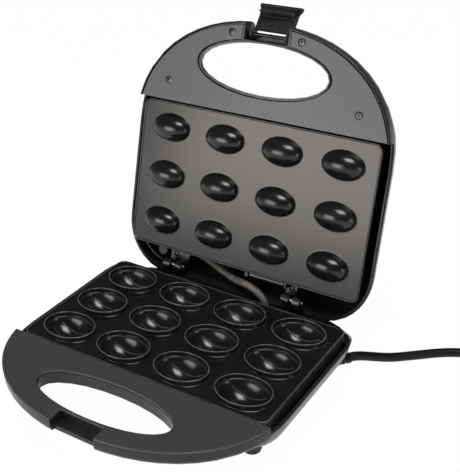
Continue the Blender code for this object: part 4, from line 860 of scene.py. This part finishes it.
def makeLever():
    half, inner, outer = lever["half"], lever["inner"], lever["outer"]
    front, back, width = lever["frontRidges"], lever["backRidges"], half - lever["earWidth"]
    slices = [leverSlice(z, half + a, inner + b, outer + c) for z, a, b, c in lever["levels"]]
    parts = [stackParts(slices), acrossParts(lever["hook"], (-width, width))]
    for z in front["heights"]:
        parts.append(leverRidge(inner + front["sink"], -front["rise"], z, half - front["endGap"]))
    for number in range(back["count"]):
        z = back["first"] + back["pitch"] * number
        parts.append(leverRidge(outer - back["sink"], back["rise"], z, width))
    for sign in (-1, 1):
        near, far = sorted((sign * half, sign * width))
        parts.append(leverEar(near, far))
        parts.append(acrossParts(lever["web"], (near + lever["webInset"], far - lever["webInset"])))
    piece = mergeParts("latchLever", parts, sharpDegrees=45.0)
    opened = Matrix.Rotation(-radians(lever["openDegrees"]), 4, "X")
    piece.data.transform(Matrix.Translation(lever["pivot"]) @ opened)
    return piece


dress(makeLever(), "lever plastic", "latch", "lid", ("latch_lever",))
pin = rodAcross("latchPin", (-latchPin["half"], latchPin["half"]), *lever["pivot"][1:], latchPin["radius"])
dress(pin, "pin steel", "lid", "lid", ("latch_pin",))
print("latch made")


# Hinge pins, which reach past the middles of their brackets' outer and inner ears
hingePins = {
    "radius": 0.0015, "past": 0.00465, "ears": (("left", -0.0673, -0.0558), ("right", 0.0593, 0.0490)),
}
for word, outer, inner in hingePins["ears"]:
    past = copysign(hingePins["past"], outer)
    ends = sorted((outer + past, inner - past))
    pin = rodAcross(f"hingePin{word.title()}", ends, hinge.y, hinge.z, hingePins["radius"])
    dress(pin, "plated steel", "base", "base", (f"hinge_pin_{word}",))

spring = {
    "ends": (0.0105, 0.0428), "reach": 0.0668, "depth": 0.0050, "radius": 0.0019, "wire": 0.0004,
    "curls": 26, "steps": 20, "sides": 8,
}


def makeSpring():
    (start, end), wire, radius = spring["ends"], spring["wire"], spring["radius"]
    count = spring["curls"] * spring["steps"]
    points = []
    for i in range(count + 1):
        turn = 2 * pi * i / spring["steps"]
        y, z = radius * cos(turn) - spring["reach"], radius * sin(turn) - spring["depth"]
        points.append(Vector((start + (end - start) * i / count, y, z)))
    straight = Vector((2 * wire, 0, 0))
    points = [points[0] - straight] + points + [points[-1] + straight]
    tube = tubeParts(points, lambda i, turn: wire, spring["sides"])
    return meshPiece("hingeSpring", *tube, sharpDegrees=60.0)


dress(makeSpring(), "plated steel", "lid", "lid", ("hinge_spring",))

innerWall = {
    "inset": 0.0085, "thickness": 0.0016, "low": -0.0340, "high": -0.0075, "edge": 0.0003, "lean": 0.25,
    "turnShares": (0.12, 0.86), "steps": 28,
}


def makeInnerWall():
    # an upright wall that follows the lid's left rear corner from inside
    low, high, edge = innerWall["low"], innerWall["high"], innerWall["edge"]
    corner = outline["lidRearCorner"]
    near, far = innerWall["inset"], innerWall["inset"] + innerWall["thickness"]
    centreX, centreY = outline["halfWidth"] - corner, outline["rearReach"] - corner
    shape = (
        (near, low), (near, high - edge), (near + edge, high),
        (far - edge, high), (far, high - edge), (far, low),
    )
    first, last = innerWall["turnShares"]
    rings = []
    for i in range(innerWall["steps"] + 1):
        turn = pi / 2 * (first + (last - first) * i / innerWall["steps"])
        ring = []
        for inset, z in shape:
            radius = corner - inset - (high - z) * innerWall["lean"]
            ring.append((-centreX - radius * cos(turn), -centreY - radius * sin(turn), z))
        rings.append(ring)
    return meshPiece("innerWall", *stackParts(rings), sharpDegrees=35.0)


rearBoss = {
    "place": (-0.0810, -0.0690),
    # radius and height, from the foot over the rim and down the bore
    "steps": (
        (0.0045, -0.0345), (0.0043, -0.0083), (0.0040, -0.0079), (0.0017, -0.0079), (0.0015, -0.0082),
        (0.0013, -0.0150), (0.0, -0.0150),
    ),
}
dress(makeInnerWall(), "black shell", "lid", "lid")
boss = turned("rearBoss", rearBoss["place"], rearBoss["steps"], sides=40, sharpDegrees=35.0)
dress(boss, "black shell", "lid", "lid")
print("hinge made")


# Braided sleeve from the lid to the base; y along its route is measured back from the hinge
sleeve = {
    "radius": 0.0030, "strands": 9, "pitch": 0.0135, "height": 0.00042, "roundness": 0.6,
    "sides": 90, "count": 420,
    "route": (
        (-0.0536, 0.0281, 0.0013), (-0.0480, 0.0234, 0.0030), (-0.0420, 0.0199, 0.0055),
        (-0.0350, 0.0159, 0.0064), (-0.0212, 0.0119, 0.0040), (-0.0074, 0.0079, 0.0022),
        (0.0038, 0.0039, 0.0032), (0.0134, 0.0019, 0.0032), (0.0232, -0.0001, 0.0003),
        (0.0299, -0.0016, -0.0062), (0.0305, -0.0021, -0.0135), (0.0305, -0.0021, -0.0220),
    ),
    "bendStart": (-0.0480, 0.0995, 0.0030), "bendEnd": (0.0250, 0.0757, -0.0010),
}


def makeSleeve():
    points = smoothCurve([(x, stand["hingeBack"] + y, z) for x, y, z in sleeve["route"]], sleeve["count"])
    step, strands = routeLength(points) / (len(points) - 1), sleeve["strands"]

    def radiusAt(i, turn):
        # strands go over and under one another in turn
        around = strands * turn / (2 * pi)
        along = i * step / sleeve["pitch"] * strands
        u, v = around + along, around - along
        over = u if (u // 1 + v // 1) % 2 else v
        lift = abs(sin(pi * over)) ** sleeve["roundness"]
        return sleeve["radius"] - sleeve["height"] * (1.0 - lift)

    return meshPiece("wireSleeve", *tubeParts(points, radiusAt, sleeve["sides"]), sharpDegrees=80.0)


sleevePiece = dress(makeSleeve(), "glass braid", None, "base", ("wire_sleeve",))
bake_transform(sleevePiece)
print("sleeve made")


# Cord, gland, coil, tie and plug, on the ground behind the right rear corner
gland = {
    "start": (0.0983, 0.0593, 0.0130), "direction": (0.68, 0.73, 0.0), "length": 0.0162, "inside": 0.0100,
    "radius": 0.0050, "tip": 0.00415, "rings": 70, "sides": 40,
    "ribs": (0.0010, 0.0150), "ribPitch": 0.0036, "ribDepth": 0.00065, "grip": 0.004,
}
cord = {
    "radius": 0.0037, "points": 620, "curveSteps": 8, "bevelSteps": 5,
    # x and y from the gland's start, and height, to where the coil begins
    "route": (
        (0.0339, 0.0368, 0.0056), (0.0490, 0.0508, 0.0041), (0.0648, 0.0642, 0.0038),
        (0.0801, 0.0736, 0.0038), (0.1027, 0.0822, 0.0040), (0.1267, 0.0862, 0.0044),
        (0.1497, 0.0867, 0.0049),
    ),
    "coilOffset": (0.1757, 0.0467, 0.0), "loops": 2, "outer": 0.0400, "pitch": 0.0082, "steps": 48,
    "lift": 0.0012, "exit": 0.0400,
}
glandStart = Vector(gland["start"])
glandWay = Vector(gland["direction"]).normalized()
coilCentre = glandStart + Vector(cord["coilOffset"])


def coilPath():
    # spirals in along the bottom layer, climbs where it turns round, and spirals out on top
    low, steps, loops = cord["radius"] + cord["lift"], cord["steps"], cord["loops"]
    points = []
    for i in range(2 * loops * steps + 1):
        radius = cord["outer"] - cord["pitch"] * (loops - abs(i - loops * steps) / steps)
        share = min(max((i - loops * steps + steps / 4) / (steps / 2), 0.0), 1.0)
        climb = cord["pitch"] * share * share * (3 - 2 * share)
        angle = pi / 2 - 2 * pi * i / steps
        x, y = coilCentre.x + radius * cos(angle), coilCentre.y + radius * sin(angle)
        points.append(Vector((x, y, low + climb)))
    for _ in range(2):
        points.append(points[-1] + Vector((cord["exit"] / 2, 0, 0)))
    return points


def makeCord(coil):
    radius = cord["radius"]
    tip = glandStart + glandWay * gland["length"]
    lead = [Vector((glandStart.x + x, glandStart.y + y, z)) for x, y, z in cord["route"]]
    before = coil[0] - Vector((4 * radius, 0, 0))
    route = [tip - glandWay * gland["grip"], tip + glandWay * 2 * radius] + lead + [before] + coil
    points = [placeOf["ground"] @ p for p in smoothCurve(route, cord["points"], cord["curveSteps"])]
    curve = bpy.data.curves.new("cord", "CURVE")
    curve.dimensions = "3D"
    curve.bevel_depth, curve.bevel_resolution = radius, cord["bevelSteps"]
    curve.use_fill_caps = True
    spline = curve.splines.new("POLY")
    spline.points.add(len(points) - 1)
    for point, at in zip(spline.points, points):
        point.co = (*at, 1.0)
    spline.use_smooth = True
    return addObject("cord", curve), points


def makeGland():
    # a tapering boot with ribs
    first, last = gland["ribs"]
    points, radii = [], []
    for i in range(gland["rings"]):
        at = (gland["inside"] + gland["length"]) * i / (gland["rings"] - 1) - gland["inside"]
        size = gland["radius"] + (gland["tip"] - gland["radius"]) * max(at / gland["length"], 0.0)
        if first < at < last:
            size -= gland["ribDepth"] * sqrt(max(0.0, sin(2 * pi * at / gland["ribPitch"])))
        points.append(glandStart + glandWay * at)
        radii.append(size)
    tube = tubeParts(points, lambda i, turn: radii[i], gland["sides"])
    return meshPiece("cordGland", *tube, sharpDegrees=50.0)


coil = coilPath()
dress(makeGland(), "cord jacket", "base", "ground", ("cord_strain_relief",))
cordPiece, cordPoints = makeCord(coil)

plug = {
    "length": 0.0340, "gap": 0.0003, "sides": 48, "power": 3.2, "floorShare": 0.995,
    # distance along, half width and half height
    "profile": (
        (-0.0090, 0.0043, 0.0043), (-0.0086, 0.0049, 0.0048), (-0.0072, 0.0050, 0.0049),
        (-0.0068, 0.0044, 0.0044), (-0.0054, 0.0045, 0.0045), (-0.0050, 0.0052, 0.0050),
        (-0.0034, 0.0053, 0.0051), (-0.0030, 0.0047, 0.0047), (-0.0014, 0.0049, 0.0049),
        (-0.0008, 0.0058, 0.0054), (0.0010, 0.0078, 0.0066), (0.0040, 0.0088, 0.0076),
        (0.0080, 0.0090, 0.0080), (0.0130, 0.0089, 0.0080), (0.0180, 0.0094, 0.0084),
        (0.0225, 0.0108, 0.0094), (0.0270, 0.0121, 0.0104), (0.0300, 0.0125, 0.0108),
        (0.0332, 0.0125, 0.0108), (0.0338, 0.0122, 0.0105), (0.0340, 0.0117, 0.0100),
    ),
    "ribs": (0.0075, 0.0100, 0.0125, 0.0150, 0.0175), "ribHalf": 0.0091, "ribHeight": 0.0083,
    "ribFlare": 0.35, "flareStart": 0.013, "ribSides": 40, "ribSink": 0.0002,
    "ribSteps": ((-0.0008, -0.0005), (-0.0004, 0.0), (0.0004, 0.0), (0.0008, -0.0005)),
}
blade = {
    "offset": 0.00635, "reach": 0.0175, "halfHeight": 0.0031, "halfThickness": 0.00075, "root": 0.002,
    "edge": 0.0004, "edgeSteps": 2, "holeShare": 0.68, "holeRadius": 0.0015, "holeReach": 0.01,
    "holeSides": 24,
}


def plugRing(end, at, half, height, sides):
    return [(end.x + at, end.y + y, end.z + z) for y, z in softOval(half, height, plug["power"], sides)]


def makePlugBody(end):
    # flattened to lie on the floor, with ribs for the fingers
    high = end.z * plug["floorShare"]
    rings = []
    for at, half, height in plug["profile"]:
        rings.append(plugRing(end, at, half, min(height, high), plug["sides"]))
    parts = [stackParts(rings)]
    for at in plug["ribs"]:
        half = plug["ribHalf"] + max(0.0, at - plug["flareStart"]) * plug["ribFlare"]
        height = min(plug["ribHeight"], high) - plug["ribSink"]
        rings = []
        for step, grow in plug["ribSteps"]:
            rings.append(plugRing(end, at + step, half + grow, height + grow, plug["ribSides"]))
        parts.append(stackParts(rings))
    return mergeParts("plugBody", parts, sharpDegrees=50.0)


def makeBlade(end, number, sign):
    face, y = end.x + plug["length"], end.y + sign * blade["offset"]
    high, thick, reach = blade["halfHeight"], blade["halfThickness"], blade["holeReach"]
    span = (face - blade["root"], face + blade["reach"])
    piece = block(f"plugBlade{number}", span, (y - thick, y + thick), (end.z - high, end.z + high))
    softenEdges(piece, blade["edge"], blade["edgeSteps"])
    x = face + blade["reach"] * blade["holeShare"]
    hole = circle(blade["holeRadius"], blade["holeSides"])
    rings = [[(x + a, side, end.z + b) for a, b in hole] for side in (y - reach, y + reach)]
    return booleanStep(piece, meshPiece("hole", *stackParts(rings)))


tie = {
    "half": 0.0030, "thickness": 0.0008, "corner": 0.0026, "cornerSteps": 8, "low": 0.0008,
    "sideSlack": 0.0003, "topSlack": 0.0004,
}


def makeTie():
    # a soft strap round the bundle, opposite the cord's way in, with a rounded outline
    radius, pitch, corner, count = cord["radius"], cord["pitch"], tie["corner"], tie["cornerSteps"]
    left = cord["outer"] - cord["loops"] * pitch + pitch / 2 - radius - tie["sideSlack"] + corner
    right = cord["outer"] - pitch / 2 + radius + tie["sideSlack"] - corner
    low, top = tie["low"] + corner, cord["lift"] + pitch + 2 * radius + tie["topSlack"] - corner
    loops = []
    for size in (corner, corner + tie["thickness"]):
        ring = []
        for number, (y, z) in enumerate(((right, low), (left, low), (left, top), (right, top))):
            for i in range(count + 1):
                turn = -pi / 2 * (number + i / count)
                ring.append((y + size * cos(turn), z + size * sin(turn)))
        loops.append(ring)
    inside, outside = loops
    rings = []
    for sign, ring in ((-1, outside), (1, outside), (1, inside), (-1, inside)):
        rings.append([(coilCentre.x + sign * tie["half"], coilCentre.y - y, z) for y, z in ring])
    return meshPiece("cordTie", *loopParts(rings))


plugEnd = coil[-1] + Vector((plug["gap"], 0, 0))
plugBody = makePlugBody(plugEnd)
for number, sign in ((1, -1), (2, 1)):
    piece = makeBlade(plugEnd, number, sign)
    dress(piece, "brass", "base", "ground", (f"plug_pin_{number}",))
dress(plugBody, "cord jacket", "base", "ground", ("plug_body",))
tiePiece = dress(makeTie(), "black rubber", "base", "ground", ("cord_tie",))
dress(cordPiece, "cord jacket", "base", None, ("power_cord", "power_cord_coil"))
print("cord made")


# Feet, and lamps in the lid
foot = {
    "places": ((-0.0887, -0.0455), (0.0887, -0.0455), (-0.0820, 0.0620), (0.0820, 0.0620)), "low": -0.0425,
    # radius, and height over the floor, from the screw's recess round to the base
    "steps": (
        (0.0018, 0.0020), (0.0018, 0.0003), (0.0021, 0.0), (0.0059, 0.0), (0.0063, 0.0002),
        (0.0066, 0.0006), (0.0070, 0.0014), (0.0070, 0.0043),
    ),
}
lamp = {
    "places": (("power", -0.010, "red lens"), ("ready", 0.010, "green lens")), "y": 0.030, "out": -0.0380,
    # radii and heights from the lid's outside, which is towards -Z
    "stem": ((0.0030, 0.0040), (0.0030, -0.0002)), "lensRadius": 0.0029, "lensEdge": -0.0003,
    "lensTop": -0.0012, "lensSteps": 8,
    "bezel": (
        (0.0031, 0.0006), (0.0031, -0.0005), (0.0034, -0.0007), (0.0042, -0.0007), (0.0045, -0.0005),
        (0.0045, 0.0006),
    ),
}
for number, place in enumerate(foot["places"], 1):
    steps = [(radius, foot["low"] + height) for radius, height in foot["steps"]]
    piece = turned(f"foot{number}", place, steps, sides=48)
    dress(piece, "black rubber", "base", "base", (f"base_foot_{number}",))
for word, x, look in lamp["places"]:
    steps, edge = list(lamp["stem"]), lamp["lensEdge"]
    for turn in (pi / 2 * i / lamp["lensSteps"] for i in range(lamp["lensSteps"])):
        steps.append((lamp["lensRadius"] * cos(turn), edge + (lamp["lensTop"] - edge) * sin(turn)))
    steps.append((0.0, lamp["lensTop"]))
    lens, bezel = ([(r, lamp["out"] + z) for r, z in rows] for rows in (steps, lamp["bezel"]))
    place = (x, lamp["y"])
    dress(turned(f"{word}Lens", place, lens, sides=40), look, "lid", "lid", (f"{word}_lamp_lens",))
    dress(turned(f"{word}Bezel", place, bezel, sides=40), "black shell", "lid", "lid")
print("feet and lamps made")


# The frame's own shapes that stay are smoothed where their faces meet at shallow angles
frameSmoothing = {"weld": 0.00001, "degrees": 48.0}


def smoothingGroup(degrees):
    group = bpy.data.node_groups.new("smooth by angle", "GeometryNodeTree")
    for way in ("INPUT", "OUTPUT"):
        group.interface.new_socket(name="Geometry", in_out=way, socket_type="NodeSocketGeometry")
    start, end = group.nodes.new("NodeGroupInput"), group.nodes.new("NodeGroupOutput")
    faces = addNode(group, "GeometryNodeSetShadeSmooth", {"Shade Smooth": True}, domain="FACE")
    edges = addNode(group, "GeometryNodeSetShadeSmooth", {"Shade Smooth": False}, domain="EDGE")
    angle = addNode(group, "GeometryNodeInputMeshEdgeAngle")
    steep = addNode(group, "FunctionNodeCompare", operation="GREATER_THAN", data_type="FLOAT")
    steep.inputs[1].default_value = radians(degrees)
    linkAll(group, (
        (start, 0, faces, "Geometry"), (faces, 0, edges, "Geometry"), (angle, "Unsigned Angle", steep, 0),
        (steep, 0, edges, "Selection"), (edges, 0, end, 0),
    ))
    return group


smoothing = smoothingGroup(frameSmoothing["degrees"])
for obj in nodes.values():
    if obj.type == "MESH":
        weld = obj.modifiers.new("weld", "WELD")
        weld.merge_threshold = frameSmoothing["weld"]
        step = obj.modifiers.new("smooth", "NODES")
        step.node_group = smoothing
        evenShading(obj)
print("frame shapes smoothed")


# Camera at the photograph's place
cameraLook = {
    "azimuth": 32.81, "elevation": 28.97, "roll": -1.65, "distance": 0.6612, "clip": (0.01, 20.0),
    "target": (0.0284, 0.0132, 0.1222), "focalPixels": 895.7, "longSide": 472, "sensor": 36.0,
}


def makeCamera(look):
    data = bpy.data.cameras.new("camera")
    camera = addObject("camera", data)
    data.sensor_width = look["sensor"]
    data.lens = look["focalPixels"] * look["sensor"] / look["longSide"]
    data.clip_start, data.clip_end = look["clip"]
    a, e, r = (radians(look[key]) for key in ("azimuth", "elevation", "roll"))
    back = Vector((sin(a) * cos(e), -cos(a) * cos(e), sin(e)))
    right = Vector((0, 0, 1)).cross(back).normalized()
    up = back.cross(right)
    right, up = right * cos(r) + up * sin(r), up * cos(r) - right * sin(r)
    turn = Matrix((right, up, back)).transposed().to_4x4()
    camera.matrix_world = Matrix.Translation(Vector(look["target"]) + back * look["distance"]) @ turn
    bpy.context.scene.camera = camera


makeCamera(cameraLook)
print("camera placed")


# Studio: a white floor and surroundings, and soft lamps as (name, place, aim, size, power, tint)
studio = {
    "floorHalf": 3.0, "floorGlow": 0.985, "floorColour": 0.80,
    "worldFill": 0.36, "ceiling": 0.05, "skyline": 0.4, "horizon": (0.02, 0.30),
    "lamps": (
        ("front softbox", (-0.444, -1.019, 0.33), (0.0, 0.08, 0.17), (0.66, 0.50), 5.9, (1.0, 0.985, 0.97)),
        ("top softbox", (0.23, -0.28, 1.32), (0.0, 0.05, 0.15), (0.62, 0.50), 11.0, (1.0, 1.0, 1.0)),
        ("right softbox", (1.16, -0.25, 0.30), (0.0, 0.0, 0.12), (0.40, 0.40), 1.6, (1.0, 1.0, 1.0)),
    ),
}


def makeFloor(look):
    # matt to the light, and glowing white to the camera and in what is mirrored or seen through
    half = look["floorHalf"]
    corners = [(-half, -half, 0), (half, -half, 0), (half, half, 0), (-half, half, 0)]
    mesh = bpy.data.meshes.new("floor")
    mesh.from_pydata(corners, [], [(0, 1, 2, 3)])
    floor = addObject("floor", mesh)
    material = bpy.data.materials.new("white floor")
    material.use_nodes = True
    tree = material.node_tree
    tree.nodes.clear()
    path = addNode(tree, "LightPath")
    seen = addNode(tree, "Math", operation="MAXIMUM")
    seenToo = addNode(tree, "Math", operation="MAXIMUM")
    share = addNode(tree, "Math", {1: look["floorGlow"]}, operation="MULTIPLY")
    glow = addNode(tree, "Emission", {"Strength": 1.0})
    matt = addNode(tree, "BsdfDiffuse", {"Color": tint(look["floorColour"])})
    mix = addNode(tree, "MixShader")
    end = addNode(tree, "OutputMaterial")
    linkAll(tree, (
        (path, "Is Camera Ray", seen, 0), (path, "Is Glossy Ray", seen, 1), (seen, 0, seenToo, 0),
        (path, "Is Transmission Ray", seenToo, 1), (seenToo, 0, share, 0), (share, 0, mix, "Fac"),
        (matt, "BSDF", mix, 1), (glow, "Emission", mix, 2), (mix, "Shader", end, "Surface"),
    ))
    mesh.materials.append(material)


def makeWorld(look):
    # white to the camera, bright near the horizon in reflections, and an even fill for the rest
    world = bpy.data.worlds.new("studio")
    bpy.context.scene.world = world
    world.use_nodes = True
    tree = world.node_tree
    tree.nodes.clear()
    path = addNode(tree, "LightPath")
    place = addNode(tree, "TexCoord")
    parts = addNode(tree, "SeparateXYZ")
    low, high = look["horizon"]
    heights = {"From Min": low, "From Max": high, "To Min": look["skyline"], "To Max": look["ceiling"]}
    ceiling = addNode(tree, "MapRange", heights)
    clear = addNode(tree, "Math", operation="MAXIMUM")
    glossy = addNode(tree, "Mix", {"A": look["worldFill"]}, data_type="FLOAT")
    seen = addNode(tree, "Mix", {"B": 1.0}, data_type="FLOAT")
    background = addNode(tree, "Background", {"Color": tint(1.0)})
    end = addNode(tree, "OutputWorld")
    linkAll(tree, (
        (place, "Generated", parts, "Vector"), (parts, "Z", ceiling, "Value"),
        (path, "Is Glossy Ray", glossy, "Factor"), (ceiling, "Result", glossy, "B"),
        (path, "Is Camera Ray", clear, 0), (path, "Is Transmission Ray", clear, 1),
        (clear, 0, seen, "Factor"), (glossy, "Result", seen, "A"),
        (seen, "Result", background, "Strength"), (background, "Background", end, "Surface"),
    ))


def makeLamp(name, place, aim, size, power, colour):
    data = bpy.data.lights.new(name, "AREA")
    data.shape = "RECTANGLE"
    data.size, data.size_y = size
    data.energy, data.color = power, colour
    light = addObject(name, data)
    light.location = place
    light.rotation_euler = (Vector(aim) - Vector(place)).to_track_quat("-Z", "Y").to_euler()
    light.visible_camera = False


makeFloor(studio)
makeWorld(studio)
for row in studio["lamps"]:
    makeLamp(*row)
bpy.context.scene.view_settings.view_transform = "Standard"
print("studio lit")
